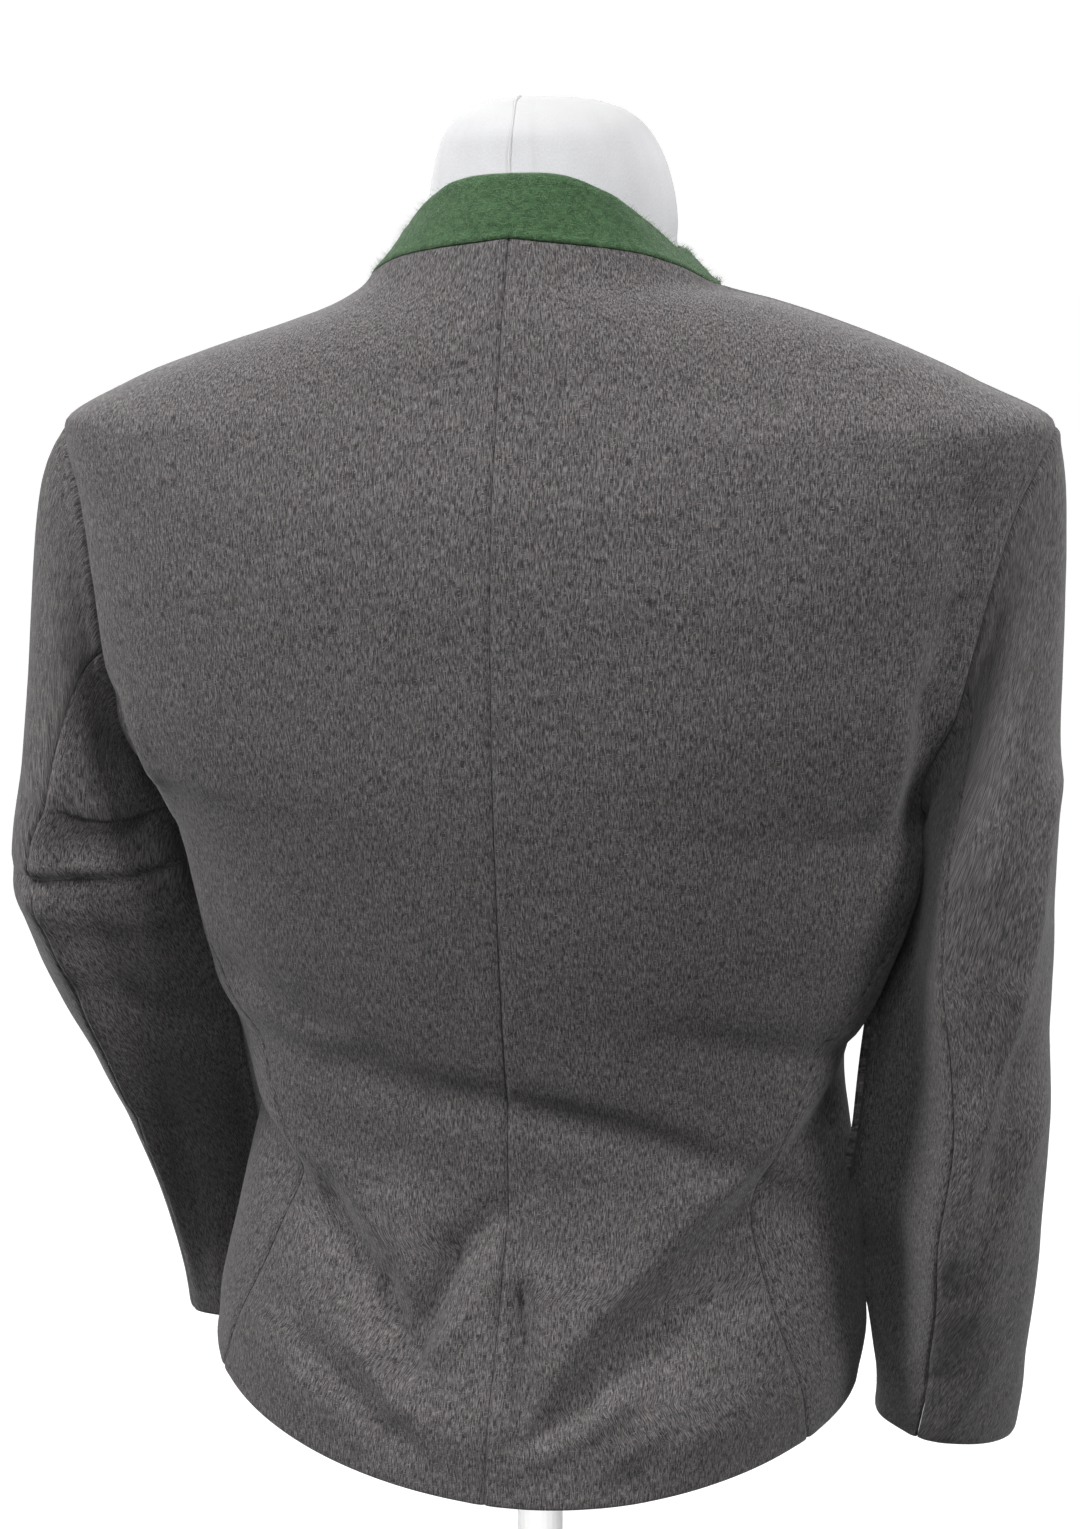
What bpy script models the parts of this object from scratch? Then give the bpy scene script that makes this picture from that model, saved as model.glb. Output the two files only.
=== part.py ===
"""Fitted tyrolean loden jacket with a stand collar, on a limbless table-top dress form.

Frame: metres, +Z up, origin at the centre of the base's underside. The wearer faces -Y, so
the wearer's left is +X. All sizes below are millimetres; heights in the tables are measured
up from the jacket's hem, and HEM_HEIGHT lifts them above the surface the base stands on.

The cloth is a set of sewn panels, each one its own solid wall: two backs, two side panels,
two overlapping fronts, a stand collar, and two-piece sleeves. A panel is a loft over rings
that are worked out from the tables of sizes. Panels that meet at a seam share its points and
its wall direction, and stand SEAM_GAP apart.
"""
import math

import bmesh
import bpy
import numpy as np

MM = 0.001

# ---------------------------------------------------------------- driving dimensions (mm)
WALL = 2.0                   # thick fulled wool
SEAM_GAP = 0.3               # between two sewn panels
HEM_HEIGHT = 250.0           # from the surface up to the hem
SHOULDER_HEIGHT = 515.0      # shoulder point above the hem
UNDERARM_HEIGHT = 334.0      # lowest point of the armholes
NECK_POINT_HEIGHT = 580.0    # where the shoulder line meets the neckline
NECK_BACK_HEIGHT = 600.0     # top of the centre back seam
SHOULDER_TILT = 0.018        # the right shoulder hangs a little higher than the left

OVERLAP = 15.0               # each front passes the centre line by this much
OVERLAP_HEIGHT = 200.0       # height at which that overlap is measured
UNDERLAP_DROP = 2.6          # the left front lies this far inside the right one
UNDERLAP_SHARES = (0.90, 0.96)   # it sinks to that depth between these shares

COLLAR_HEIGHT = 28.0
COLLAR_SIDE_DROP = 5.0       # the collar is this much lower over the shoulders
COLLAR_SIDE_LEAN = 17.0      # how far its top edge leans in, at the sides,
COLLAR_BACK_LEAN = 6.0       # at the back
COLLAR_FRONT_LEAN = 2.0      # and at the front
COLLAR_OPENING = 2.0         # half the gap between the collar's ends at the centre front

BUTTON_DIAMETER = 20.0
BUTTON_THICKNESS = 4.0
BUTTON_LIFT = 0.7            # off the cloth's curve, the length of a thread shank's knot
BUTTON_HEIGHTS = (60.0, 160.0, 260.0, 360.0, 460.0)

VENT_HEIGHT = 34.0           # open end of the hind seam at each cuff
VENT_WIDTH = 2.4

CREASE_FADE = 0.2            # creases of the back and front die out towards the sides
SLEEVE_CREASE_FADE = 20.0    # and those of the sleeves towards the arm's front half
SEAM_EASE = 4                # power by which a side seam bends to its point on the armhole

FORM_FRONT_INSET = 4.5       # the form's front lies this much deeper, behind the underlap
FORM_FRONT_SHARES = (0.6, 0.85)  # it reaches that extra depth between these shares
FORM_SHOULDER_POWER = 8      # how sharply the form's shoulders stop at their half width
FORM_BOTTOM = 6.0            # height of the form's flat underside above the hem
FORM_LEVELS = (8, 40, 80, 120, 160, 200, 245, 290, 330, 370, 410, 450, 482, 505, 522, 536,
               549, 560, 570, 580)
POLE_DIAMETER = 26.0
BASE_DIAMETER = 250.0
BASE_THICKNESS = 14.0
BASE_EDGE = 4.0
FLANGE_DIAMETER = 54.0       # foot of the pole
FLANGE_THICKNESS = 6.0

# ---------------------------------------------------------------- panel grids
ARMHOLE_STEPS = 24           # segments round each armhole, and round each sleeve
HIND_SEAM_STEP = 7           # armhole step where the sleeve's hind seam starts
FORE_SEAM_STEP = 17          # armhole step where the sleeve's front seam starts
SIDE_BACK_STEP = 11          # armhole step where the side panel's back seam ends
SIDE_FRONT_STEP = 14         # armhole step where the side panel's front seam ends
LOW_ROWS = 15                # rows from the hem to the underarm
TOP_ROWS = 7                 # rows from the shoulder point to the neckline
BACK_COLUMNS = 11
SIDE_COLUMNS = 6
FRONT_COLUMNS = 10
CAP_ROWS = 6                 # sleeve rows from the armhole to the upper arm ring
ARM_ROWS = 14                # sleeve rows from there to the cuff
COLLAR_ROWS = 2
FORM_COLUMNS = 32

LEFT, RIGHT = 1, -1
SIDE_NAMES = {LEFT: "left", RIGHT: "right"}

# ---------------------------------------------------------------- tables of sizes (mm)
# Rings of the body. Past the underarm the half widths carry on over the armhole, and above
# the shoulder point they draw in along the shoulder line up to the neck.
BODY_COLUMNS = ("height", "left", "right", "side_y", "back_y", "front_y")
BODY_RINGS = (
    (0, 195, 177, -15, 133, -105),
    (30, 188, 178, -14, 121, -101),
    (60, 180, 175, -12, 104, -97),
    (90, 172, 171, -10, 89, -93),
    (120, 165, 167, -8, 78, -90),
    (150, 160, 164, -6, 73, -88),
    (195, 166, 159, -4, 77, -93),
    (212, 171, 162, -3, 79, -96),
    (225, 174, 167, -3, 81, -98),
    (250, 179, 176, -2, 85, -103),
    (300, 187, 188, 0, 92, -113),
    (334, 205, 190, 1, 96, -119),
    (345, 215, 196, 2, 97, -120),
    (370, 224, 208, 3, 99, -119),
    (400, 228, 219, 4, 100, -115),
    (440, 231, 227, 5, 100, -104),
    (480, 234, 232, 6, 97, -84),
    (515, 240, 238, 7, 89, -64),
    (536, 203, 203, 7, 83, -55),
    (550, 162, 174, 7, 80, -51),
    (561, 125, 147, 7, 77, -50),
    (572, 94, 114, 7, 73, -48),
    (580, 81, 85, 6, 70, -47),
    (590, 75, 76, 5, 66, -46),
    (600, 69, 70, 4, 63, -46),
)
# How flat each ring's back and front are: 1 is an ellipse, less is squarer.
FLATNESS_COLUMNS = ("height", "back_left", "back_right", "front")
FLATNESS = (
    (0, 1.05, 1.22, 0.95),
    (60, 1.0, 1.08, 0.95),
    (150, 0.9, 0.9, 0.9),
    (300, 0.82, 0.82, 0.9),
    (515, 0.85, 0.85, 0.85),
    (600, 1.0, 0.9, 0.85),
)
# Seams as shares of the half ring: 0 is the centre back, 1 the centre front.
SIDE_BACK_COLUMNS = ("height", "share")
SIDE_BACK_SEAM = (
    (0, 0.345),
    (40, 0.315),
    (80, 0.285),
    (125, 0.268),
    (160, 0.300),
    (200, 0.345),
    (245, 0.385),
    (290, 0.425),
    (337, 0.465),
)
SIDE_FRONT_COLUMNS = ("height", "share")
SIDE_FRONT_SEAM = (
    (0, 0.66),
    (150, 0.68),
    (250, 0.63),
    (346, 0.585),
)
NECKLINE_COLUMNS = ("share", "height")
NECKLINE = {
    LEFT: ((0.0, 600), (0.25, 593), (0.38, 586.5), (0.5, 580), (0.6, 578), (0.68, 574.5),
           (0.76, 569.5), (0.82, 564.5), (0.88, 557), (0.94, 545), (1.0, 524)),
    RIGHT: ((0.0, 600), (0.25, 594.5), (0.38, 588), (0.5, 580), (0.6, 579), (0.68, 577.5),
            (0.76, 574.5), (0.82, 570.5), (0.88, 563), (0.94, 549), (1.0, 524)),
}
# How far the armhole reaches from the side line, as a share of the half ring.
ARMHOLE_BACK = {LEFT: 0.10, RIGHT: 0.108}
ARMHOLE_FRONT = {LEFT: 0.165, RIGHT: 0.165}

# Rings of the sleeves. half_x is across, half_y front to back, tilt the rise per mm outwards,
# and twist turns the seams round the arm.
SLEEVE_COLUMNS = ("height", "centre_x", "centre_y", "half_x", "half_y", "tilt", "lean", "twist")
SLEEVE_RINGS = {
    LEFT: (
        (322, 236, 4, 39, 66, 0.30, 0.00, -26),
        (296, 238, 12, 42, 60, 0.12, 0.02, -37),
        (272, 236, 17, 46, 54, 0.00, 0.05, -36),
        (240, 231, 13, 45.5, 52, 0.00, 0.10, -36),
        (200, 224, 3, 44, 49, 0.00, 0.16, -38),
        (150, 215, -14, 42, 47, 0.00, 0.20, -44),
        (100, 212, -35, 37, 46, 0.00, 0.22, -48),
        (50, 211.5, -56, 33, 46, 0.00, 0.22, -50),
        (0, 212, -74, 31, 46, 0.00, 0.20, -52),
        (-44, 214, -87, 30, 46, 0.00, 0.18, -52),
    ),
    RIGHT: (
        (322, 222, 1, 31.4, 68, 0.30, 0.00, 20),
        (280, 221.5, 4, 34.2, 62, 0.14, 0.02, 16),
        (250, 217.5, 6, 40, 57, 0.06, 0.04, 0),
        (225, 214.5, 8, 44, 53, 0.00, 0.05, -11),
        (180, 215, 10, 47, 49, 0.00, 0.08, -15),
        (130, 215, 8, 47, 47, 0.00, 0.12, -11),
        (80, 218, 0, 44.5, 45, 0.00, 0.18, -8),
        (40, 220.5, -10, 41, 44, 0.00, 0.25, -2),
        (0, 223, -20, 38.5, 43, 0.00, 0.30, 5),
        (-22, 222.5, -25, 37.5, 42, 0.00, 0.30, 8),
    ),
}
# How the sleeve leaves the armhole and comes into its first ring: pulls at the shoulder and
# at the underarm.
CAP_COLUMNS = ("out_top", "down_top", "in_top", "out_low", "down_low", "in_low")
CAP_PULLS = {LEFT: (104, 60, 110, 26, 6, 26), RIGHT: (38, 52, 130, 26, 6, 26)}
# Inside form: how far it stays inside the jacket's smooth body, and the half width its
# shoulders stop at (past the jacket's own width where nothing stops them).
FORM_COLUMNS_TABLE = ("height", "inset", "half_width")
FORM_INSET = (
    (0, 13.0, 400),
    (100, 12.5, 400),
    (200, 10.0, 400),
    (334, 7.0, 182),
    (430, 4.6, 190),
    (480, 3.6, 197),
    (515, 3.4, 204),
    (560, 3.4, 204),
    (580, 5.0, 204),
    (600, 5.0, 204),
)
# The form's neck, from just above the neckline: it draws in to a rounded cap.
NECK_COLUMNS = ("height", "centre_x", "centre_y", "half_x", "half_y")
NECK_RINGS = (
    (589, -1, 2, 66, 52),
    (599, -3, 1, 61.5, 48),
    (608, -4.5, 0, 60, 46),
    (620, -5.3, 0, 57.5, 44),
    (632, -4.8, 0, 54.5, 42),
    (643, -3.8, 0, 50, 40),
    (652, -3, 0, 43, 35),
    (658, -2, 0, 33, 27),
    (661, -1, 0, 20, 16),
)
NECK_TOP = 662.0

# Creases and swags: a soft ridge (+) or trough (-) along a line, seen square from the face.
# x is to the wearer's left, z above the hem, width is how far it spreads to each side.
CREASE_COLUMNS = ("x0", "z0", "x1", "z1", "width", "rise")
BACK_CREASES = (
    (102, 160, 48, 50, 10, -6.5),
    (6, 138, 42, 50, 11, -5.5),
    (86, 48, 48, 24, 8, -4.5),
    (-130, 172, -88, 126, 12, -6.0),
    (-88, 126, -44, 66, 12, -7.0),
    (-44, 66, -26, 34, 9, -4.0),
    (-96, 88, -38, 26, 11, 4.0),
    (-20, 112, -20, 26, 10, -3.0),
    (142, 226, 56, 206, 15, -4.0),
    (-92, 230, -160, 206, 15, -4.0),
    (-205, 470, -197, 420, 9, -5.0),
    (-197, 420, -191, 340, 9, -9.0),
    (-184, 330, -182, 272, 12, 4.0),
    (-182, 272, -164, 222, 12, 6.0),
    (178, 300, 168, 230, 12, 3.0),
    (205, 372, 198, 342, 6, -4.0),
)
FRONT_CREASES = (
    (120, 196, 40, 172, 14, -4.0),
    (-118, 190, -46, 176, 14, -3.5),
    (96, 120, 62, 20, 13, -4.0),
    (-104, 116, -70, 24, 13, -4.5),
    (150, 380, 112, 300, 14, -4.0),
    (-152, 384, -108, 306, 14, -4.5),
)
SLEEVE_CREASES = {
    LEFT: (
        (300, 264, 196, 268, 6, -4.5),
        (292, 282, 204, 284, 9, 3.0),
        (262, 232, 190, 190, 9, -4.0),
        (250, 168, 196, 120, 9, -3.5),
    ),
    RIGHT: (
        (-250, 350, -238, 228, 9, 3.5),
        (-238, 228, -222, 100, 10, 4.5),
        (-252, 156, -236, 76, 9, 3.5),
        (-216, 300, -208, 250, 9, -3.0),
        (-244, 196, -240, 130, 8, -3.5),
        (-186, 34, -224, 22, 6, -2.0),
    ),
}

# ---------------------------------------------------------------- helpers for the tables


def smooth_curve(keys, values):
    """A curve through the points that never swings past them (monotone cubic)."""
    keys = np.array(keys, float)
    values = np.array(values, float)
    spans = np.diff(keys)
    slopes = np.diff(values) / spans
    tangents = np.zeros(len(keys))
    tangents[0], tangents[-1] = slopes[0], slopes[-1]
    product = slopes[:-1] * slopes[1:]
    total = slopes[:-1] + slopes[1:]
    turning = product > 0
    tangents[1:-1][turning] = 2 * product[turning] / total[turning]

    def at(where):
        where = np.clip(where, keys[0], keys[-1])
        i = np.clip(np.searchsorted(keys, where, side="right") - 1, 0, len(spans) - 1)
        t = (where - keys[i]) / spans[i]
        start = (1 + 2 * t) * (1 - t) ** 2 * values[i]
        end = t * t * (3 - 2 * t) * values[i + 1]
        bend = t * (1 - t) ** 2 * tangents[i] - t * t * (1 - t) * tangents[i + 1]
        return start + end + bend * spans[i]

    return at


def table_curves(columns, rows):
    """One smooth curve for each named column after the first, keyed by the first."""
    keys = [row[0] for row in rows]
    ordered = sorted(range(len(rows)), key=lambda i: keys[i])
    return {
        name: smooth_curve([keys[i] for i in ordered], [rows[i][c] for i in ordered])
        for c, name in enumerate(columns)
        if c > 0
    }


BODY = table_curves(BODY_COLUMNS, BODY_RINGS)
FLAT = table_curves(FLATNESS_COLUMNS, FLATNESS)
SIDE_BACK = table_curves(SIDE_BACK_COLUMNS, SIDE_BACK_SEAM)["share"]
SIDE_FRONT = table_curves(SIDE_FRONT_COLUMNS, SIDE_FRONT_SEAM)["share"]
NECK_EDGE = {
    side: table_curves(NECKLINE_COLUMNS, NECKLINE[side])["height"] for side in (LEFT, RIGHT)
}
ARM = {side: table_curves(SLEEVE_COLUMNS, SLEEVE_RINGS[side]) for side in (LEFT, RIGHT)}
FORM = table_curves(FORM_COLUMNS_TABLE, FORM_INSET)
NECK = table_curves(NECK_COLUMNS, NECK_RINGS)


def soft_step(value, start, end):
    """0 before start, 1 after end, and a smooth rise between."""
    part = np.clip((value - start) / (end - start), 0, 1)
    return part * part * (3 - 2 * part)


def unit(vectors):
    length = np.linalg.norm(vectors, axis=-1, keepdims=True)
    return vectors / np.maximum(length, 1e-9)


def crease_rise(x, z, creases):
    """Height of the creases at a point: a bell across each line, faded past its ends.

    Where lines meet, the highest ridge and the deepest trough count, not their sum."""
    ridge = np.zeros(np.broadcast(x, z).shape)
    trough = np.zeros(np.broadcast(x, z).shape)
    for row in creases:
        crease = dict(zip(CREASE_COLUMNS, row))
        run = np.array((crease["x1"] - crease["x0"], crease["z1"] - crease["z0"]), float)
        length = np.hypot(*run)
        along = ((x - crease["x0"]) * run[0] + (z - crease["z0"]) * run[1]) / length
        across = ((x - crease["x0"]) * run[1] - (z - crease["z0"]) * run[0]) / length
        beyond = np.maximum(0, np.maximum(-along, along - length))
        bell = np.exp(-(across ** 2 + beyond ** 2) / crease["width"] ** 2)
        ridge = np.maximum(ridge, crease["rise"] * bell)
        trough = np.minimum(trough, crease["rise"] * bell)
    return ridge + trough


# ---------------------------------------------------------------- the body's surface


def smooth_body(side, share, height):
    """Point of the body without creases. Past share 1 it runs on over the centre front."""
    angle = math.pi * np.asarray(share, float)
    height = np.asarray(height, float)
    half = BODY[SIDE_NAMES[side]](height)
    side_y = BODY["side_y"](height)
    toward = np.cos(angle)
    flat_back = FLAT["back_" + SIDE_NAMES[side]](height)
    back = (BODY["back_y"](height) - side_y) * np.abs(toward) ** flat_back
    front = (side_y - BODY["front_y"](height)) * np.abs(toward) ** FLAT["front"](height)
    y = side_y + np.where(toward >= 0, back, -front)
    x = side * half * np.sin(angle)
    tilted = np.clip((height - UNDERARM_HEIGHT) / (SHOULDER_HEIGHT - UNDERARM_HEIGHT), 0, 1)
    near_neck = (NECK_POINT_HEIGHT - height) / (NECK_POINT_HEIGHT - SHOULDER_HEIGHT)
    near_neck = np.clip(near_neck, 0, 1)
    z = height - SHOULDER_TILT * x * np.minimum(tilted, near_neck)
    return np.stack(np.broadcast_arrays(x, y, z), -1)


def surface_normal(surface, side, share, height):
    """Outward direction of a body surface, from two short steps over it."""
    step_share, step_height = 0.002, 0.6
    high = np.minimum(height + step_height, NECK_BACK_HEIGHT)
    low = np.maximum(height - step_height, 0)
    along = surface(side, share + step_share, height) - surface(side, share - step_share, height)
    up = surface(side, share, high) - surface(side, share, low)
    return unit(np.cross(up, along)) * side


def body(side, share, height):
    """Point of the jacket's outer surface, creases and all."""
    point = smooth_body(side, share, height)
    out = surface_normal(smooth_body, side, share, height)
    toward = np.cos(math.pi * np.asarray(share, float))
    on_back = np.clip(toward / CREASE_FADE, 0, 1)
    on_front = np.clip(-toward / CREASE_FADE, 0, 1)
    rise = on_back * crease_rise(point[..., 0], point[..., 2], BACK_CREASES)
    rise = rise + on_front * crease_rise(point[..., 0], point[..., 2], FRONT_CREASES)
    return point + out * rise[..., None]


def armhole(side, step):
    """Share and height of the armhole's edge: 0 is the shoulder, half way the underarm."""
    angle = 2 * math.pi * np.asarray(step, float) / ARMHOLE_STEPS
    middle = (SHOULDER_HEIGHT + UNDERARM_HEIGHT) / 2
    height = middle + (SHOULDER_HEIGHT - UNDERARM_HEIGHT) / 2 * np.cos(angle)
    reach = np.where(np.sin(angle) >= 0, -ARMHOLE_BACK[side], ARMHOLE_FRONT[side])
    return 0.5 + reach * np.abs(np.sin(angle)), height


# ---------------------------------------------------------------- the sleeves' surfaces


def sleeve_ring(side, height, angle):
    """Points of one ring of the arm. Angle 0 is outwards, a quarter turn is the back."""
    arm = ARM[side]
    turn = angle + np.radians(arm["twist"](height))
    reach_x = arm["half_x"](height) * np.cos(turn)
    reach_y = arm["half_y"](height) * np.sin(turn)
    x = side * (arm["centre_x"](height) + reach_x)
    y = arm["centre_y"](height) + reach_y
    z = height + arm["tilt"](height) * reach_x + arm["lean"](height) * reach_y
    return np.stack(np.broadcast_arrays(x, y, z), -1)


def sleeve_grid(side):
    """All rows of a sleeve, armhole first, one column for each step round it."""
    steps = np.arange(ARMHOLE_STEPS)
    angle = 2 * math.pi * steps / ARMHOLE_STEPS
    share, height = armhole(side, steps)
    start = body(side, share, height)
    table = SLEEVE_RINGS[side]
    first, last = table[0][0], table[-1][0]
    end = sleeve_ring(side, first, angle)
    below = sleeve_ring(side, first - 1.0, angle)
    low = ((1 - np.cos(angle)) / 2)[:, None]          # 0 at the shoulder, 1 at the underarm
    pull = dict(zip(CAP_COLUMNS, CAP_PULLS[side]))
    out_pull = pull["out_top"] + (pull["out_low"] - pull["out_top"]) * low
    down_pull = pull["down_top"] + (pull["down_low"] - pull["down_top"]) * low
    leave = np.array((side, 0, 0)) * out_pull + np.array((0, 0, -1)) * down_pull
    arrive = unit(below - end) * (pull["in_top"] + (pull["in_low"] - pull["in_top"]) * low)
    rows = []
    for row in range(CAP_ROWS):
        t = row / CAP_ROWS
        rows.append(
            (1 + 2 * t) * (1 - t) ** 2 * start
            + t * t * (3 - 2 * t) * end
            + t * (1 - t) ** 2 * leave
            - t * t * (1 - t) * arrive
        )
    for height in np.linspace(first, last, ARM_ROWS + 1):
        rows.append(sleeve_ring(side, height, angle))
    grid = np.array(rows)
    out = sleeve_normals(grid, side)
    behind = grid[..., 1] - ARM[side]["centre_y"](grid[..., 2])
    on_back = np.clip(behind / SLEEVE_CREASE_FADE, 0, 1)
    fade_in = np.clip(np.arange(len(grid)) / CAP_ROWS, 0, 1)[:, None]
    rise = crease_rise(grid[..., 0], grid[..., 2], SLEEVE_CREASES[side]) * on_back * fade_in
    return grid + out * rise[..., None]


# ---------------------------------------------------------------- panels


def grid_normals(grid, closed=False):
    """Normals of a grid of points, from its neighbours along rows and columns."""
    if closed:
        along = np.roll(grid, -1, axis=1) - np.roll(grid, 1, axis=1)
    else:
        along = np.gradient(grid, axis=1)
    return unit(np.cross(along, np.gradient(grid, axis=0)))


def sleeve_normals(grid, side):
    """Outward directions all over a sleeve's grid, whose columns run outwards to the back."""
    return grid_normals(grid, closed=True) * -side


def inset_edges(grid, top=0.0, bottom=0.0, first=0.0, last=0.0):
    """Draw the edges of a grid in along its own surface by the given lengths."""
    grid = grid.copy()
    for edge, beside, amount in ((0, 1, bottom), (-1, -2, top)):
        grid[edge] += unit(grid[beside] - grid[edge]) * amount
    for edge, beside, amount in ((0, 1, first), (-1, -2, last)):
        amount = np.broadcast_to(amount, len(grid))[:, None]
        grid[:, edge] += unit(grid[:, beside] - grid[:, edge]) * amount
    return grid


def add_object(name, bm, material, collection):
    bmesh.ops.recalc_face_normals(bm, faces=bm.faces)
    mesh = bpy.data.meshes.new(name)
    bm.to_mesh(mesh)
    bm.free()
    mesh.shade_smooth()
    mesh.set_sharp_from_angle(angle=math.radians(50))
    mesh.materials.append(material)
    item = bpy.data.objects.new(name, mesh)
    collection.objects.link(item)
    return item


def to_scene(points):
    """Millimetres above the hem to metres above the surface."""
    lifted = np.array(points, float)
    lifted[..., 2] += HEM_HEIGHT
    return lifted * MM


def add_wall(name, outer, normals, material, collection, thickness=WALL):
    """A panel: a grid of outer points and the same grid moved in by the wall.

    Its edges are cut from the lower outer corner to the higher inner one, so the two sides
    of a seam are cut alike and lie parallel."""
    rows, columns = outer.shape[:2]
    bm = bmesh.new()
    faces = []
    for points in (outer, outer - normals * thickness):
        faces.append([[bm.verts.new(p) for p in row] for row in to_scene(points)])
    out, inn = faces
    for r in range(rows - 1):
        for c in range(columns - 1):
            bm.faces.new((out[r][c], out[r][c + 1], out[r + 1][c + 1], out[r + 1][c]))
            bm.faces.new((inn[r][c], inn[r + 1][c], inn[r + 1][c + 1], inn[r][c + 1]))
    rim = [(0, c) for c in range(columns)]
    rim += [(r, columns - 1) for r in range(1, rows)]
    rim += [(rows - 1, c) for c in range(columns - 2, -1, -1)]
    rim += [(r, 0) for r in range(rows - 2, 0, -1)]
    for corner, other in zip(rim, rim[1:] + rim[:1]):
        (r0, c0), (r1, c1) = sorted((corner, other), key=lambda place: outer[place][2])
        bm.faces.new((out[r0][c0], inn[r0][c0], inn[r1][c1]))
        bm.faces.new((out[r0][c0], inn[r1][c1], out[r1][c1]))
    return add_object(name, bm, material, collection)


def armhole_normals(side, sleeve):
    """Wall direction round the armhole: half way between the body's and the sleeve's."""
    share, height = armhole(side, np.arange(ARMHOLE_STEPS))
    of_body = surface_normal(body, side, share, height)
    of_sleeve = sleeve_normals(sleeve, side)[0]
    return unit(of_body + of_sleeve)


def collar_lift(share):
    """From the neckline to the collar's top edge: in and up, lower over the shoulders."""
    to_side = np.sin(math.pi * share) ** np.where(share < 0.5, 2, 1)
    lean_at_middle = np.where(share < 0.5, COLLAR_BACK_LEAN, COLLAR_FRONT_LEAN)
    height = COLLAR_HEIGHT - COLLAR_SIDE_DROP * to_side
    inward = lean_at_middle + (COLLAR_SIDE_LEAN - lean_at_middle) * to_side
    return inward, np.sqrt(height ** 2 - inward ** 2)


def collar_points(side, share, part):
    """Part 0 is the neckline seam and part 1 the collar's top edge."""
    base = body(side, share, NECK_EDGE[side](share))
    inward, up = collar_lift(share)
    centre = np.stack([0 * share, BODY["side_y"](NECK_EDGE[side](share)), base[..., 2]], -1)
    lift = unit(centre - base) * inward[..., None] + np.array((0, 0, 1)) * up[..., None]
    return base + lift * part


def neckline_normals(side, share):
    """Wall direction along the neckline: half way between the body's and the collar's."""
    of_body = surface_normal(body, side, share, NECK_EDGE[side](share))
    step = 0.004
    along = collar_points(side, share + step, 0.5) - collar_points(side, share - step, 0.5)
    up = collar_points(side, share, 1.0) - collar_points(side, share, 0.0)
    return unit(of_body + unit(np.cross(up, along)) * side)


def panel_heights(top_step):
    """Heights of a panel's rows up to its armhole step, and the steps of the rows above."""
    low = np.linspace(0, armhole(LEFT, top_step)[1], LOW_ROWS + 1)
    if top_step <= ARMHOLE_STEPS // 2:
        return low, range(top_step - 1, -1, -1)
    return low, range(top_step + 1, ARMHOLE_STEPS + 1)


def body_panel(side, top_step, edge_below, centre_share, columns, normals_at_arm):
    """Grid and wall directions of a back or front, centre line first, armhole edge last."""
    low, steps = panel_heights(top_step)
    part = np.linspace(0, 1, columns + 1)
    shares, heights, arm_steps = [], [], []
    for height in low:
        shares.append(centre_share + (edge_below(height) - centre_share) * part)
        heights.append(np.full(columns + 1, height))
        arm_steps.append(None)
    for step in steps:
        share, height = armhole(side, step)
        shares.append(centre_share + (share - centre_share) * part)
        heights.append(np.full(columns + 1, height))
        arm_steps.append(step % ARMHOLE_STEPS)
    for row in range(1, TOP_ROWS + 1):
        share = centre_share + (0.5 - centre_share) * part
        neck = NECK_EDGE[side](share)
        shares.append(share)
        heights.append(SHOULDER_HEIGHT + (neck - SHOULDER_HEIGHT) * row / TOP_ROWS)
        arm_steps.append(None)
    shares, heights = np.array(shares), np.array(heights)
    grid = body(side, shares, heights)
    normals = surface_normal(body, side, shares, heights)
    for row, step in enumerate(arm_steps):
        if step is not None:
            normals[row, -1] = normals_at_arm[step]
    top_share = shares[-1]
    normals[-1] = neckline_normals(side, np.minimum(top_share, 1))
    return grid, normals, shares


def seam_to_armhole(side, seam, step):
    """A side panel's seam as a function of height, bent at its top to the armhole's step."""
    share_at_arm, top = armhole(side, step)

    def share(height):
        return seam(height) + (share_at_arm - seam(top)) * (height / top) ** SEAM_EASE

    return share


def add_backs(sleeve_edges, material, collection):
    """Both backs. Gives their neckline rows: shares, points and wall directions."""
    half_gap = SEAM_GAP / 2
    necklines = {}
    for side in (LEFT, RIGHT):
        edge = seam_to_armhole(side, SIDE_BACK, SIDE_BACK_STEP)
        grid, normals, shares = body_panel(
            side, SIDE_BACK_STEP, edge, 0.0, BACK_COLUMNS, sleeve_edges[side]
        )
        necklines[side] = shares[-1], grid[-1].copy(), normals[-1]
        grid = inset_edges(grid, top=half_gap, first=half_gap, last=half_gap)
        add_wall("back_" + SIDE_NAMES[side], grid, normals, material, collection)
    return necklines


def add_fronts(sleeve_edges, material, collection):
    """Both fronts. Gives their neckline rows: shares, points and wall directions."""
    half_gap = SEAM_GAP / 2
    necklines = {}
    for side in (LEFT, RIGHT):
        edge = seam_to_armhole(side, SIDE_FRONT, SIDE_FRONT_STEP)
        past_centre = math.asin(OVERLAP / BODY[SIDE_NAMES[side]](OVERLAP_HEIGHT)) / math.pi
        grid, normals, shares = body_panel(
            side, SIDE_FRONT_STEP, edge, 1 + past_centre, FRONT_COLUMNS, sleeve_edges[side]
        )
        if side == LEFT:
            under = soft_step(shares, *UNDERLAP_SHARES)
            grid = grid - normals * (UNDERLAP_DROP * under)[..., None]
        necklines[side] = shares[-1], grid[-1].copy(), normals[-1]
        grid = inset_edges(grid, top=half_gap, last=half_gap)
        add_wall("front_" + SIDE_NAMES[side], grid, normals, material, collection)
    return necklines


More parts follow.
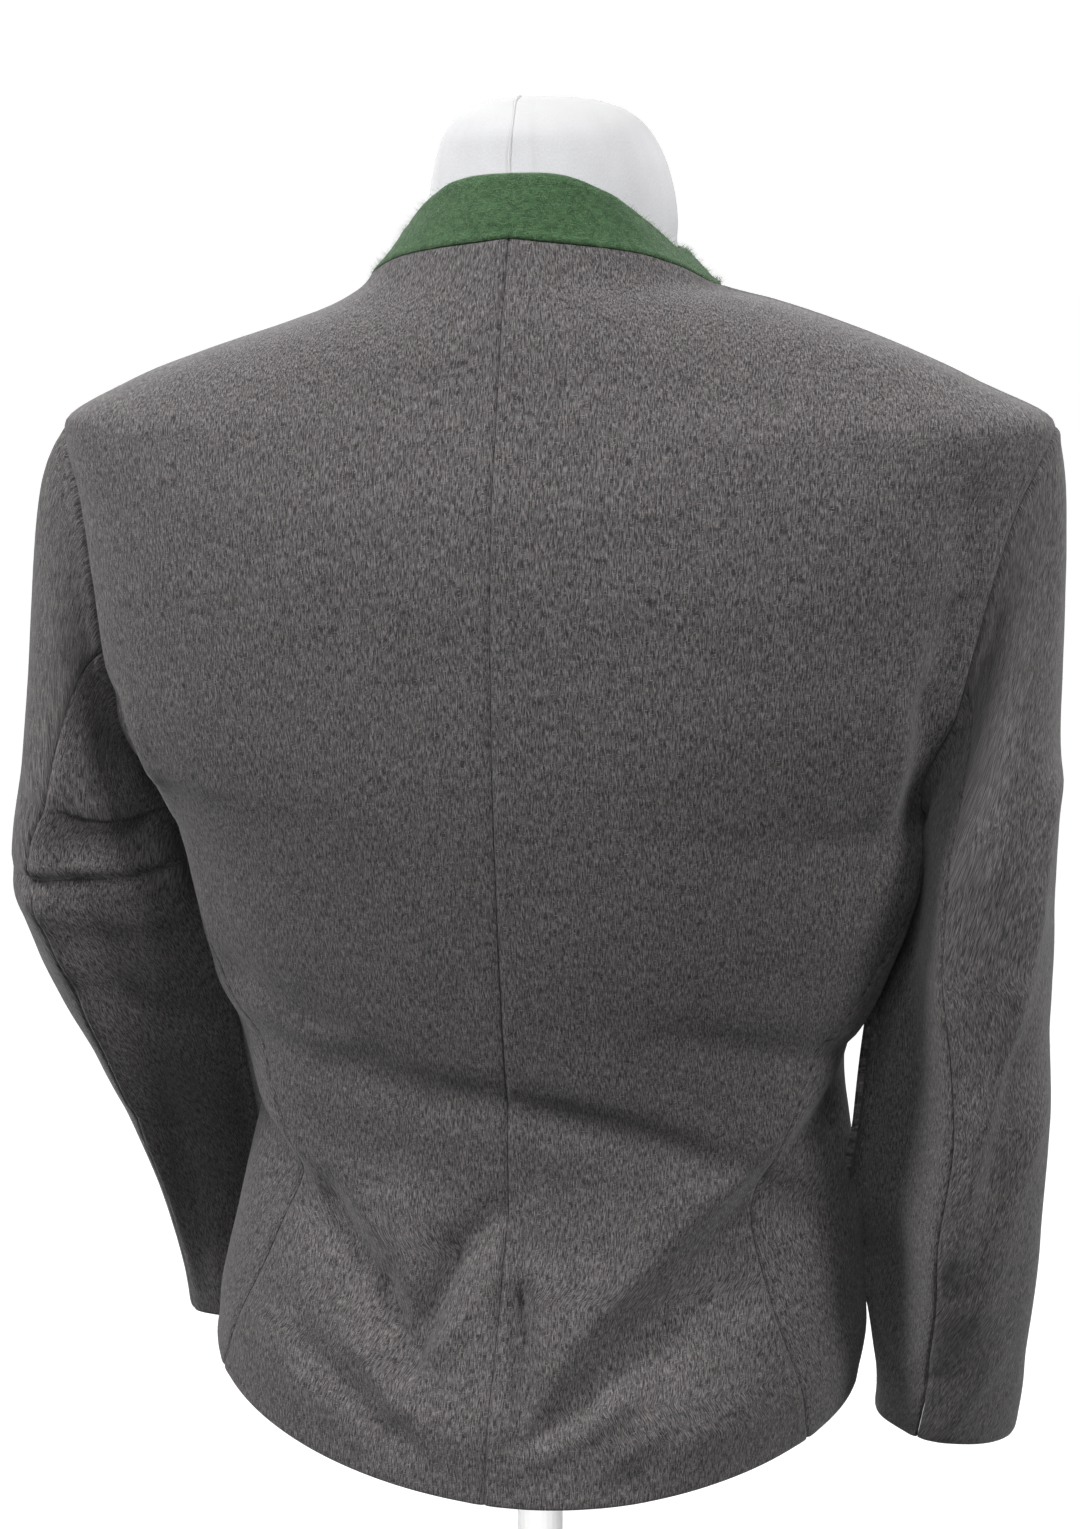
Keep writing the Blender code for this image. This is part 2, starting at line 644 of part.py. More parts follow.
def add_sides(sleeve_edges, material, collection):
    half_gap = SEAM_GAP / 2
    for side in (LEFT, RIGHT):
        position = np.linspace(SIDE_BACK_STEP, SIDE_FRONT_STEP, SIDE_COLUMNS + 1)
        part = np.linspace(0, 1, SIDE_COLUMNS + 1)
        lower = np.floor(position).astype(int)
        upper = np.minimum(lower + 1, SIDE_FRONT_STEP)
        mix = (position - lower)[:, None]
        top_share, top_height = armhole(side, position)
        height = np.linspace(0, 1, LOW_ROWS + 1)[:, None] * top_height[None, :]
        back = seam_to_armhole(side, SIDE_BACK, SIDE_BACK_STEP)
        front = seam_to_armhole(side, SIDE_FRONT, SIDE_FRONT_STEP)
        share = back(height) * (1 - part) + front(height) * part
        rise = np.linspace(0, 1, LOW_ROWS + 1)[:, None] ** SEAM_EASE
        share = share + (top_share - share[-1]) * rise
        grid = body(side, share, height)
        normals = surface_normal(body, side, share, height)
        whole = armhole(side, lower), armhole(side, upper)
        corner = [body(side, *ends) for ends in whole]
        grid[-1] = corner[0] * (1 - mix) + corner[1] * mix
        edges = sleeve_edges[side]
        normals[-1] = unit(edges[lower] * (1 - mix) + edges[upper] * mix)
        grid = inset_edges(grid, top=half_gap, first=half_gap, last=half_gap)
        add_wall("side_" + SIDE_NAMES[side], grid, normals, material, collection)


def collar_half(side, back, front):
    """Neckline of one half from the centre back to the collar's end: the panels' own points."""
    shares, points, normals = (
        np.concatenate([of_back, of_front[::-1][1:]]) for of_back, of_front in zip(back, front)
    )
    end = 1 - math.asin(COLLAR_OPENING / BODY[SIDE_NAMES[side]](NECK_POINT_HEIGHT)) / math.pi
    inside = shares < end
    columns = list(range(int(np.sum(inside))))
    last = columns[-1]
    mix = (end - shares[last]) / (shares[last + 1] - shares[last])
    ends = (
        end,
        points[last] * (1 - mix) + points[last + 1] * mix,
        unit(normals[last] * (1 - mix) + normals[last + 1] * mix),
    )
    return [
        np.concatenate([kept[columns], np.array([extra])])
        for kept, extra in zip((shares, points, normals), ends)
    ]


def add_collar(backs, fronts, material, collection):
    """The stand collar, end to end round the neckline."""
    halves = []
    for side in (RIGHT, LEFT):
        share, base, wall = collar_half(side, backs[side], fronts[side])
        inward, up = collar_lift(share)
        centre = np.stack([0 * share, BODY["side_y"](NECK_EDGE[side](share)), base[:, 2]], -1)
        lift = unit(centre - base) * inward[:, None] + np.array((0, 0, 1)) * up[:, None]
        rows = np.array([base + lift * part for part in np.linspace(0, 1, COLLAR_ROWS + 1)])
        if side == RIGHT:
            rows, wall = rows[:, ::-1], wall[::-1]
        else:
            rows, wall = rows[:, 1:], wall[1:]
        halves.append((rows, wall))
    grid = np.concatenate([rows for rows, _ in halves], axis=1)
    normals = -grid_normals(grid)
    normals[0] = np.concatenate([wall for _, wall in halves])
    grid = inset_edges(grid, bottom=SEAM_GAP / 2)
    add_wall("collar", grid, normals, material, collection)


def add_sleeves(sleeves, sleeve_edges, material, collection):
    half_gap = SEAM_GAP / 2
    pieces = {
        "top": np.arange(FORE_SEAM_STEP - ARMHOLE_STEPS, HIND_SEAM_STEP + 1),
        "under": np.arange(HIND_SEAM_STEP, FORE_SEAM_STEP + 1),
    }
    for side in (LEFT, RIGHT):
        normals = sleeve_normals(sleeves[side], side)
        normals[0] = sleeve_edges[side]
        normals[1] = unit(normals[0] + normals[1])
        from_cuff = np.maximum(sleeves[side][:, HIND_SEAM_STEP, 2] - sleeves[side][-1, 0, 2], 0)
        vent = np.clip(1 - from_cuff / VENT_HEIGHT, 0, 1) * VENT_WIDTH / 2
        for piece, steps in pieces.items():
            columns = steps % ARMHOLE_STEPS
            grid = sleeves[side][:, columns]
            hind = half_gap + vent
            first, last = (half_gap, hind) if piece == "top" else (hind, half_gap)
            grid = inset_edges(grid, bottom=half_gap, first=first, last=last)
            name = "sleeve_" + piece + "_" + SIDE_NAMES[side]
            add_wall(name, grid, normals[:, columns], material, collection)


# ---------------------------------------------------------------- buttons, form and stand


def add_turned(name, profile, segments, material, collection, place=None):
    """A turned solid from a profile of (radius, height), top first, that meets the axis."""
    bm = bmesh.new()
    ring = [bm.verts.new((radius * MM, 0, height * MM)) for radius, height in profile]
    for first, second in zip(ring, ring[1:]):
        bm.edges.new((first, second))
    mesh = bpy.data.meshes.new(name)
    bm.to_mesh(mesh)
    bm.free()
    mesh.materials.append(material)
    item = bpy.data.objects.new(name, mesh)
    collection.objects.link(item)
    screw = item.modifiers.new("turn", "SCREW")
    screw.angle = 2 * math.pi
    screw.steps = screw.render_steps = segments
    screw.use_merge_vertices = True
    screw.merge_threshold = 0.00001
    screw.use_smooth_shade = True
    if place is not None:
        item.location, item.rotation_euler = place
    return item


def add_buttons(material, collection):
    radius = BUTTON_DIAMETER / 2
    profile = (
        (0, BUTTON_THICKNESS - 1.0),
        (radius - 3.5, BUTTON_THICKNESS - 1.0),
        (radius - 2.2, BUTTON_THICKNESS),
        (radius - 0.8, BUTTON_THICKNESS),
        (radius, BUTTON_THICKNESS - 1.4),
        (radius - 1.2, 0),
        (0, 0),
    )
    for number, height in enumerate(BUTTON_HEIGHTS, 1):
        at = body(RIGHT, np.array(1.0), np.array(height))
        out = surface_normal(body, RIGHT, np.array(1.0), np.array(height))
        beneath = body(RIGHT, np.array(1.0), height + np.array((-radius, 0, radius)))
        highest = np.max((beneath - at) @ out)
        seat = to_scene(at + out * (highest + BUTTON_LIFT))
        pitch = math.atan2(math.hypot(out[0], out[1]), out[2])
        turn = math.atan2(out[1], out[0])
        place = (tuple(seat), (0, pitch, turn))
        add_turned("button_%d" % number, profile, 16, material, collection, place)


def form_ring(height):
    """One ring of the form inside the jacket, drawn in from the jacket's smooth body."""
    shares = np.linspace(0, 1, FORM_COLUMNS // 2 + 1)
    sides = ((LEFT, shares), (RIGHT, shares[::-1][1:-1]))
    points = []
    for side, share in sides:
        level = np.full(len(share), float(height))
        point = smooth_body(side, share, level)
        out = surface_normal(smooth_body, side, share, level)
        deeper = FORM_FRONT_INSET * soft_step(share, *FORM_FRONT_SHARES)
        point = point - out * (FORM["inset"](height) + deeper)[:, None]
        widest = FORM["half_width"](height)
        reach = (np.abs(point[:, 0]) / widest) ** FORM_SHOULDER_POWER
        stopped = widest * (1 - np.exp(-reach)) ** (1 / FORM_SHOULDER_POWER)
        point[:, 0] = np.copysign(stopped, point[:, 0])
        points.append(point)
    return np.concatenate(points)


def add_form(material, collection):
    """Torso and neck in one whole solid, with a flat underside and a rounded cap."""
    rings = [form_ring(height) for height in FORM_LEVELS]
    angle = 2 * math.pi * np.arange(FORM_COLUMNS) / FORM_COLUMNS
    for height in [row[0] for row in NECK_RINGS]:
        rings.append(np.stack([
            NECK["centre_x"](height) + NECK["half_x"](height) * np.sin(angle),
            NECK["centre_y"](height) + NECK["half_y"](height) * np.cos(angle),
            np.full(FORM_COLUMNS, float(height)),
        ], -1))
    rings[0][:, 2] = FORM_BOTTOM
    bm = bmesh.new()
    loops = [[bm.verts.new(p) for p in to_scene(ring)] for ring in rings]
    for low, high in zip(loops, loops[1:]):
        for c in range(FORM_COLUMNS):
            d = (c + 1) % FORM_COLUMNS
            bm.faces.new((low[c], low[d], high[d], high[c]))
    bm.faces.new(loops[0][::-1])
    cap = bm.verts.new(to_scene(np.array((NECK_RINGS[-1][1], NECK_RINGS[-1][2], NECK_TOP))))
    for c in range(FORM_COLUMNS):
        bm.faces.new((loops[-1][c], loops[-1][(c + 1) % FORM_COLUMNS], cap))
    return add_object("dress_form", bm, material, collection)


def add_stand(material, collection):
    radius = BASE_DIAMETER / 2
    base = (
        (0, BASE_THICKNESS),
        (radius - BASE_EDGE, BASE_THICKNESS),
        (radius - 0.3 * BASE_EDGE, BASE_THICKNESS - 0.3 * BASE_EDGE),
        (radius, BASE_THICKNESS - BASE_EDGE),
        (radius, 0),
        (0, 0),
    )
    add_turned("stand_base", base, 48, material, collection)
    pole_low = BASE_THICKNESS + SEAM_GAP
    pole_high = HEM_HEIGHT + FORM_BOTTOM - SEAM_GAP
    pole = (
        (0, pole_high),
        (POLE_DIAMETER / 2, pole_high),
        (POLE_DIAMETER / 2, pole_low + FLANGE_THICKNESS),
        (0.9 * FLANGE_DIAMETER / 2, pole_low + 0.7 * FLANGE_THICKNESS),
        (FLANGE_DIAMETER / 2, pole_low),
        (0, pole_low),
    )
    add_turned("stand_pole", pole, 24, material, collection)


# ---------------------------------------------------------------- materials and assembly


def plain_material(name, colour, roughness, metallic=0.0):
    material = bpy.data.materials.new(name)
    material.use_nodes = True
    shader = material.node_tree.nodes["Principled BSDF"]
    shader.inputs["Base Color"].default_value = (*colour, 1)
    shader.inputs["Roughness"].default_value = roughness
    shader.inputs["Metallic"].default_value = metallic
    return material


def main():
    for item in list(bpy.data.objects):
        bpy.data.objects.remove(item, do_unlink=True)
    collection = bpy.data.collections.new("tyrolean_loden_jacket")
    bpy.context.scene.collection.children.link(collection)

    loden = plain_material("grey_loden", (0.10, 0.095, 0.098), 0.95)
    felt = plain_material("green_felt", (0.07, 0.14, 0.07), 0.95)
    horn = plain_material("horn", (0.20, 0.13, 0.07), 0.45)
    jersey = plain_material("white_jersey", (0.72, 0.71, 0.73), 0.9)
    steel = plain_material("white_enamel", (0.80, 0.80, 0.80), 0.4)

    sleeves = {side: sleeve_grid(side) for side in (LEFT, RIGHT)}
    sleeve_edges = {side: armhole_normals(side, sleeves[side]) for side in (LEFT, RIGHT)}
    backs = add_backs(sleeve_edges, loden, collection)
    add_sides(sleeve_edges, loden, collection)
    fronts = add_fronts(sleeve_edges, loden, collection)
    add_sleeves(sleeves, sleeve_edges, loden, collection)
    add_collar(backs, fronts, felt, collection)
    add_buttons(horn, collection)
    add_form(jersey, collection)
    add_stand(steel, collection)


main()
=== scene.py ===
"""Looks of the tyrolean loden jacket on its dress form.

The cloth is rebuilt here on the solids' own form, from the same tables of sizes, as thin shells
on a much finer grid: sewn seams that sink between their pressed allowances, turned hems, folds
with uneven edges, and a nap. Heights in the tables are millimetres above the jacket's hem.
"""

import math

import bmesh
import bpy
import numpy as np
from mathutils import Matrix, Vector


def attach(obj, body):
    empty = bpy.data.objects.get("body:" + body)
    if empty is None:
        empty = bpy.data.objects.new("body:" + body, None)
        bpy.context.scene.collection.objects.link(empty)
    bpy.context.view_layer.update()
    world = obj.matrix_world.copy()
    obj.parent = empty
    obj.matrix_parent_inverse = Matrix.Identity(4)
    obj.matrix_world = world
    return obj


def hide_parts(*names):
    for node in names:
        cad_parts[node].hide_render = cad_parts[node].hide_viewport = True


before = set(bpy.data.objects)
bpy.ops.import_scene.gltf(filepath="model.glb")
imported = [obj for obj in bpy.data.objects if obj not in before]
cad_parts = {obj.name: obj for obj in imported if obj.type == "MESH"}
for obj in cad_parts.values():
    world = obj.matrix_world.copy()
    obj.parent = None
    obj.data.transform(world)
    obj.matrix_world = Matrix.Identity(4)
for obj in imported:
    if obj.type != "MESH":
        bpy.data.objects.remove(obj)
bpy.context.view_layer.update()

MM = 0.001
LEFT, RIGHT = 1, -1
SIDE_NAMES = {LEFT: "left", RIGHT: "right"}

# ---- sizes shared with the solids
WALL = 2.0
HEM_HEIGHT = 250.0
SHOULDER_HEIGHT = 515.0
UNDERARM_HEIGHT = 334.0
NECK_POINT_HEIGHT = 580.0
NECK_BACK_HEIGHT = 600.0
SHOULDER_TILT = 0.018
OVERLAP = 15.0
OVERLAP_HEIGHT = 200.0
UNDERLAP_DROP = 2.6
UNDERLAP_SHARES = (0.90, 0.96)
COLLAR_HEIGHT = 28.0
COLLAR_SIDE_DROP = 5.0
COLLAR_SIDE_LEAN = 17.0
COLLAR_BACK_LEAN = 6.0
COLLAR_FRONT_LEAN = 2.0
COLLAR_OPENING = 2.0
COLLAR_ARC = 2.4             # lift of the back's upper edge beside its middle
COLLAR_PEAK = 0.8            # and its fall at the middle
ARC_AT, ARC_SPREAD, PEAK_SPREAD = 27, 17, 7     # where both are (mm from the middle)
BUTTON_DIAMETER = 20.0
BUTTON_LIFT = 0.7
BUTTON_HEIGHTS = (60.0, 160.0, 260.0, 360.0, 460.0)
VENT_HEIGHT = 34.0
VENT_WIDTH = 2.4
CREASE_FADE = 0.2
SLEEVE_CREASE_FADE = 20.0
SEAM_EASE = 4
FORM_FRONT_INSET = 4.5
FORM_FRONT_SHARES = (0.6, 0.85)
FORM_SHOULDER_POWER = 8
FORM_BOTTOM = 6.0
ARMHOLE_STEPS = 24
HIND_SEAM_STEP = 7
FORE_SEAM_STEP = 17
SIDE_BACK_STEP = 11
SIDE_FRONT_STEP = 14

BODY_COLUMNS = ("height", "left", "right", "side_y", "back_y", "front_y")
BODY_RINGS = (
    (0, 195, 177, -15, 133, -105),
    (30, 188, 178, -14, 121, -101),
    (60, 180, 175, -12, 104, -97),
    (90, 172, 171, -10, 89, -93),
    (120, 165, 167, -8, 78, -90),
    (150, 160, 164, -6, 73, -88),
    (195, 166, 159, -4, 77, -93),
    (212, 171, 162, -3, 79, -96),
    (225, 174, 167, -3, 81, -98),
    (250, 179, 176, -2, 85, -103),
    (300, 187, 188, 0, 92, -113),
    (334, 205, 190, 1, 96, -119),
    (345, 215, 196, 2, 97, -120),
    (370, 224, 208, 3, 99, -119),
    (400, 228, 219, 4, 100, -115),
    (440, 231, 227, 5, 100, -104),
    (480, 234, 232, 6, 97, -84),
    (515, 240, 238, 7, 89, -64),
    (536, 203, 203, 7, 83, -55),
    (550, 162, 174, 7, 80, -51),
    (561, 125, 147, 7, 77, -50),
    (572, 94, 114, 7, 73, -48),
    (580, 81, 85, 6, 70, -47),
    (590, 75, 76, 5, 66, -46),
    (600, 69, 70, 4, 63, -46),
)
FLATNESS_COLUMNS = ("height", "back_left", "back_right", "front")
FLATNESS = (
    (0, 1.05, 1.22, 0.95),
    (60, 1.0, 1.08, 0.95),
    (150, 0.9, 0.9, 0.9),
    (300, 0.82, 0.82, 0.9),
    (515, 0.85, 0.85, 0.85),
    (600, 1.0, 0.9, 0.85),
)
SIDE_BACK_COLUMNS = ("height", "share")
SIDE_BACK_SEAM = (
    (0, 0.345),
    (40, 0.315),
    (80, 0.285),
    (125, 0.268),
    (160, 0.300),
    (200, 0.345),
    (245, 0.385),
    (290, 0.425),
    (337, 0.465),
)
SIDE_FRONT_COLUMNS = ("height", "share")
SIDE_FRONT_SEAM = (
    (0, 0.66),
    (150, 0.68),
    (250, 0.63),
    (346, 0.585),
)
NECKLINE_COLUMNS = ("share", "height")
NECKLINE = {
    LEFT: ((0.0, 600), (0.25, 593), (0.38, 586.5), (0.5, 580), (0.6, 578), (0.68, 574.5),
           (0.76, 569.5), (0.82, 564.5), (0.88, 557), (0.94, 545), (1.0, 524)),
    RIGHT: ((0.0, 600), (0.25, 594.5), (0.38, 588), (0.5, 580), (0.6, 579), (0.68, 577.5),
            (0.76, 574.5), (0.82, 570.5), (0.88, 563), (0.94, 549), (1.0, 524)),
}
ARMHOLE_BACK = {LEFT: 0.10, RIGHT: 0.108}
ARMHOLE_FRONT = {LEFT: 0.165, RIGHT: 0.165}

SLEEVE_COLUMNS = ("height", "centre_x", "centre_y", "half_x", "half_y", "tilt", "lean", "twist")
SLEEVE_RINGS = {
    LEFT: (
        (322, 236, 4, 39, 66, 0.30, 0.00, -26),
        (296, 238, 12, 42, 60, 0.12, 0.02, -37),
        (272, 236, 17, 46, 54, 0.00, 0.05, -36),
        (240, 231, 13, 45.5, 52, 0.00, 0.10, -36),
        (200, 224, 3, 44, 49, 0.00, 0.16, -38),
        (150, 215, -14, 42, 47, 0.00, 0.20, -44),
        (100, 212, -35, 37, 46, 0.00, 0.22, -48),
        (50, 211.5, -56, 33, 46, 0.00, 0.22, -50),
        (0, 212, -74, 31, 46, 0.00, 0.20, -52),
        (-44, 214, -87, 30, 46, 0.00, 0.18, -52),
    ),
    RIGHT: (
        (322, 222, 1, 31.4, 68, 0.30, 0.00, 20),
        (280, 221.5, 4, 34.2, 62, 0.14, 0.02, 16),
        (250, 217.5, 6, 40, 57, 0.06, 0.04, 0),
        (225, 214.5, 8, 44, 53, 0.00, 0.05, -11),
        (180, 215, 10, 47, 49, 0.00, 0.08, -15),
        (130, 215, 8, 47, 47, 0.00, 0.12, -11),
        (80, 218, 0, 44.5, 45, 0.00, 0.18, -8),
        (40, 220.5, -10, 41, 44, 0.00, 0.25, -2),
        (0, 223, -20, 38.5, 43, 0.00, 0.30, 5),
        (-22, 222.5, -25, 37.5, 42, 0.00, 0.30, 8),
    ),
}
CAP_COLUMNS = ("out_top", "down_top", "in_top", "out_low", "down_low", "in_low")
CAP_PULLS = {LEFT: (104, 60, 110, 26, 6, 26), RIGHT: (38, 52, 130, 26, 6, 26)}
FORM_COLUMNS = ("height", "inset", "half_width")
FORM_INSET = (
    (0, 13.0, 400),
    (100, 12.5, 400),
    (200, 10.0, 400),
    (334, 7.0, 182),
    (430, 4.6, 190),
    (480, 3.6, 197),
    (515, 3.4, 204),
    (560, 3.4, 204),
    (580, 5.0, 204),
    (600, 5.0, 204),
)
NECK_COLUMNS = ("ring", "height", "centre_x", "centre_y", "half_x", "half_y")
NECK_RINGS = (
    (0, 589, -1, 2, 66, 52),
    (1, 599, -3, 1, 61.5, 48),
    (2, 608, -4.5, 0, 60, 46),
    (3, 620, -5.3, 0, 57.5, 44),
    (4, 632, -4.8, 0, 54.5, 42),
    (5, 643, -3.8, 0, 50, 40),
    (6, 652, -3, 0, 43, 35),
    (7, 658, -2, 0, 33, 27),
    (8, 661, -1, 0, 20, 16),
    (9, 662, -1, 0, 0.6, 0.5),
)

# ---- folds
# A ridge (+) or trough (-) along a line, seen square from the face. Its spread in mm is given on
# each side, left and right of the way the line runs, and edge tells how crisp its crest is: 2 is
# round, less is sharper.
CREASE_COLUMNS = ("x0", "z0", "x1", "z1", "right", "left", "rise", "edge")
BACK_CREASES = (
    (140, 197, 67, 196, 14, 17, -3.8, 2.0),
    (67, 196, 8, 189, 13, 16, -4.0, 2.0),
    (-5, 188, -64, 176, 11, 14, -4.4, 2.0),
    (-64, 176, -106, 160, 10, 13, -4.4, 2.0),
    (138, 152, 89, 124, 26, 8, 3.4, 1.6),
    (89, 124, 60, 104, 20, 12, 3.8, 1.6),
    (147, 139, 99, 114, 10, 22, -6.0, 1.8),
    (99, 114, 67, 82, 15, 11, -10.5, 1.7),
    (67, 82, 47, 55, 14, 8, -14.0, 1.5),
    (54, 118, 48, 92, 14, 14, 4.5, 1.8),
    (6, 125, 26, 104, 7, 11, -6.5, 1.8),
    (26, 104, 45, 55, 6, 11, -13.0, 1.5),
    (74, 56, 47, 40, 7, 7, 4.5, 1.8),
    (47, 40, 23, 72, 7, 7, 5.0, 1.8),
    (23, 67, 6, 100, 6, 6, 3.0, 1.8),
    (98, 46, 52, 24, 10, 9, -6.5, 1.8),
    (112, 92, 96, 52, 12, 12, 2.6, 2.0),
    (-154, 200, -113, 153, 8, 26, 3.6, 1.6),
    (-113, 153, -72, 108, 8, 28, 5.0, 1.5),
    (-72, 108, -44, 76, 8, 20, 5.0, 1.5),
    (-165, 188, -128, 138, 24, 11, -6.5, 1.8),
    (-128, 138, -89, 91, 30, 14, -12.0, 1.8),
    (-89, 91, -61, 65, 30, 14, -14.0, 1.7),
    (-61, 65, -30, 36, 20, 10, -13.0, 1.6),
    (-30, 28, -66, 50, 6, 7, 6.5, 1.7),
    (-4, 122, -9, 88, 6, 6, -3.2, 1.8),
    (-9, 88, -17, 46, 5, 5, -10.0, 1.6),
    (-17, 45, -31, 35, 5, 5, -5.5, 1.6),
    (-24, 98, -32, 64, 8, 8, 3.0, 2.0),
    (-100, 40, -74, 16, 9, 9, -3.0, 2.0),
    (150, 232, 104, 220, 11, 11, -2.8, 1.8),
    (-98, 230, -152, 214, 11, 11, -3.0, 1.8),
    (-205, 486, -203, 440, 8, 8, -5.5, 1.8),
    (-203, 440, -194, 400, 9, 9, -8.5, 1.8),
    (-194, 400, -190, 344, 9, 9, -9.0, 2.0),
    (-184, 400, -176, 352, 8, 8, 3.0, 1.8),
    (-184, 330, -182, 272, 12, 12, 4.0, 2.0),
    (-182, 272, -164, 222, 12, 12, 5.0, 2.0),
    (178, 300, 168, 230, 12, 12, 3.0, 2.0),
    (210, 374, 197, 334, 6, 6, -5.0, 1.7),
    (196, 366, 184, 320, 8, 8, 2.5, 2.0),
)
FRONT_CREASES = (
    (126, 204, 78, 190, 10, 10, -3.8, 1.8),
    (78, 190, 34, 176, 9, 9, -3.0, 1.8),
    (-120, 196, -80, 184, 10, 10, -3.6, 1.8),
    (-80, 184, -42, 178, 8, 8, -2.6, 2.0),
    (108, 132, 78, 84, 7, 18, -5.5, 1.6),
    (78, 84, 62, 22, 8, 15, -6.5, 1.8),
    (128, 92, 112, 24, 10, 10, 3.5, 1.8),
    (-116, 126, -86, 78, 18, 7, -6.0, 1.7),
    (-86, 78, -68, 26, 14, 8, -5.0, 1.8),
    (-58, 104, -44, 40, 9, 9, 2.8, 2.0),
    (152, 384, 126, 330, 9, 9, -4.5, 1.7),
    (126, 330, 98, 292, 12, 12, -3.2, 2.0),
    (-154, 388, -124, 336, 10, 10, -5.0, 1.7),
    (-124, 336, -104, 306, 10, 10, -2.8, 2.0),
    (172, 346, 150, 296, 10, 10, 2.5, 2.0),
    (-176, 340, -156, 288, 9, 9, 2.8, 2.0),
)
SLEEVE_CREASES = {
    LEFT: (
        (226, 304, 186, 303, 34, 14, -11.0, 1.8),
        (250, 291, 192, 290, 5, 6, 1.6, 1.8),
        (262, 283, 186, 281, 4, 5, -5.5, 1.4),
        (254, 268, 208, 256, 8, 8, 2.4, 1.8),
        (234, 214, 196, 190, 10, 10, -2.4, 2.0),
        (226, 120, 200, 104, 9, 9, -2.0, 2.0),
    ),
    RIGHT: (
        (-247, 356, -238, 267, 7, 7, 5.5, 1.3),
        (-238, 267, -228, 199, 7, 7, 7.0, 1.2),
        (-228, 199, -219, 126, 7, 8, 6.0, 1.3),
        (-252, 186, -243, 140, 7, 9, 3.4, 1.6),
        (-243, 140, -233, 92, 9, 10, 3.0, 1.8),
        (-240, 226, -236, 168, 7, 7, -3.4, 1.8),
        (-181, 35, -196, 23, 5, 5, -2.2, 1.7),
        (-196, 23, -212, 34, 5, 5, -2.0, 1.7),
        (-222, 4, -242, 46, 7, 7, 2.4, 2.0),
    ),
}
BELLY_SHARE, BELLY_STEPS = 0.1, 2.4      # how far round the body and the sleeves a belly goes
LINE_WANDER, WANDER_CELL = 2.0, 34       # how far (mm) a fold's line wanders, and how often
DEPTH_WANDER, DEPTH_CELL = 0.15, 26      # share of its depth that varies, and how often (mm)
CREASE_END = 6               # a fold's ends run out over its narrower side and this (mm)
HEM_TUCK, HEM_TUCK_HEIGHT = 8.0, 24.0    # the pressed hem turns in (mm)
HEM_TUCK_SIDE = 0.35         # share of the tuck that the hem keeps at the sides
# The empty under-sleeve sinks in from the hind seam: depth (mm) at heights down the arm.
SINK_COLUMNS = ("height", "depth")
SLEEVE_SINK = {
    LEFT: ((-44, 2), (10, 8), (60, 16), (140, 20), (240, 20), (275, 14), (300, 4), (322, 0)),
    RIGHT: ((-22, 1), (20, 6), (50, 20), (90, 33), (240, 34), (290, 26), (322, 10)),
}
SINK_STEPS = {LEFT: (7.0, 9.2, 12.5, 15.5), RIGHT: (7.0, 8.9, 10.6, 13.2)}
# Where cloth bellies out sideways: height, its spread, and how far (mm).
SLEEVE_BELLY = {LEFT: ((214, 36, 8.0),), RIGHT: ((112, 44, 6.0), (296, 36, 5.0), (336, 20, 6.5))}
BELLY_STEP = {LEFT: 15.0, RIGHT: 12.8}
SIDE_BELLY = {LEFT: ((216, 36, 4.5),), RIGHT: ((300, 38, 4.5), (104, 40, 3.0))}

# ---- grids of the shells
EDGE_OFFSETS = (0.0, 0.45, 1.0, 1.7, 2.6, 3.9, 5.6, 8.0)   # fine steps beside a seam (mm)
# Lengths (mm) that only set how many steps a grid has, and where its fine steps lie.
PANEL_SHARE = 0.9            # across a back or front: this share of the body's half width
SIDE_WIDTH = 130.0           # across a side panel
SLEEVE_GIRTH = 300.0         # round a sleeve
CAP_LENGTH = 160.0           # down the sleeve head
COLLAR_HALF = 205.0          # along half the collar
BODY_BLEND, SLEEVE_BLEND, COLLAR_BLEND = 5, 6, 4    # a wall turns to its seam over this (mm)
CLOTH_STEP = 3.4             # spacing over the open cloth (mm)
MIN_ROW = 0.9                # closest two rows beside the armhole (mm)
SEW_GAP = 0.12               # half the dark line between two sewn panels (mm)
CLOTH_WAVES = ((0.45, 42), (0.16, 15))    # the cloth's unevenness: height and cell (mm)
CALM_EDGE = 12               # which fades beside a panel's edges (mm)
FELT_WAVES = ((0.7, 36, 91), (0.35, 9, 92))    # the collar's: height, cell (mm) and seed
FELT_EDGE_WAVE = (0.45, 13, 93)                # and its upper edge's
STAND_SPREAD, LEAST_STAND = 0.18, 0.08    # how unlike hairs stand, and the flattest of them
HAIR_LENGTHS = (0.4, 1.3)    # shortest and longest, as shares of a layer's length
HAIR_BEND, ROOT_DEPTH = 0.28, 0.08        # share of its length; depth in the cloth (mm)
HAIR_TAPER = (1.0, 0.8, 0.35)
# Layers of loose hairs: how many, length and radius (mm), how far they stand up, seed.
LODEN_NAP = ((420, 2.4, 0.05, 0.16, 500), (260, 1.7, 0.04, 0.6, 600))
FELT_NAP = ((2600, 1.8, 0.05, 0.45, 701), (1800, 2.9, 0.045, 0.7, 702))
FORM_SIDES = 96
FORM_LEVELS = ((8, 500, 90), (505, 580, 30))    # from, to (mm) and how many rings
FORM_NECK_RINGS = 46
FORM_GIRTH = 620.0
WELD = 0.0005                # points of a turned mesh nearer than this are one
SHARP_FORM, SHARP_PIECE = 60, 50     # edges sharper than this are shaded hard (degrees)
FOLLOW_TOP, FOLLOW_FADE = 400, 60    # the cover follows the folds up to here (mm)

# ---- helpers


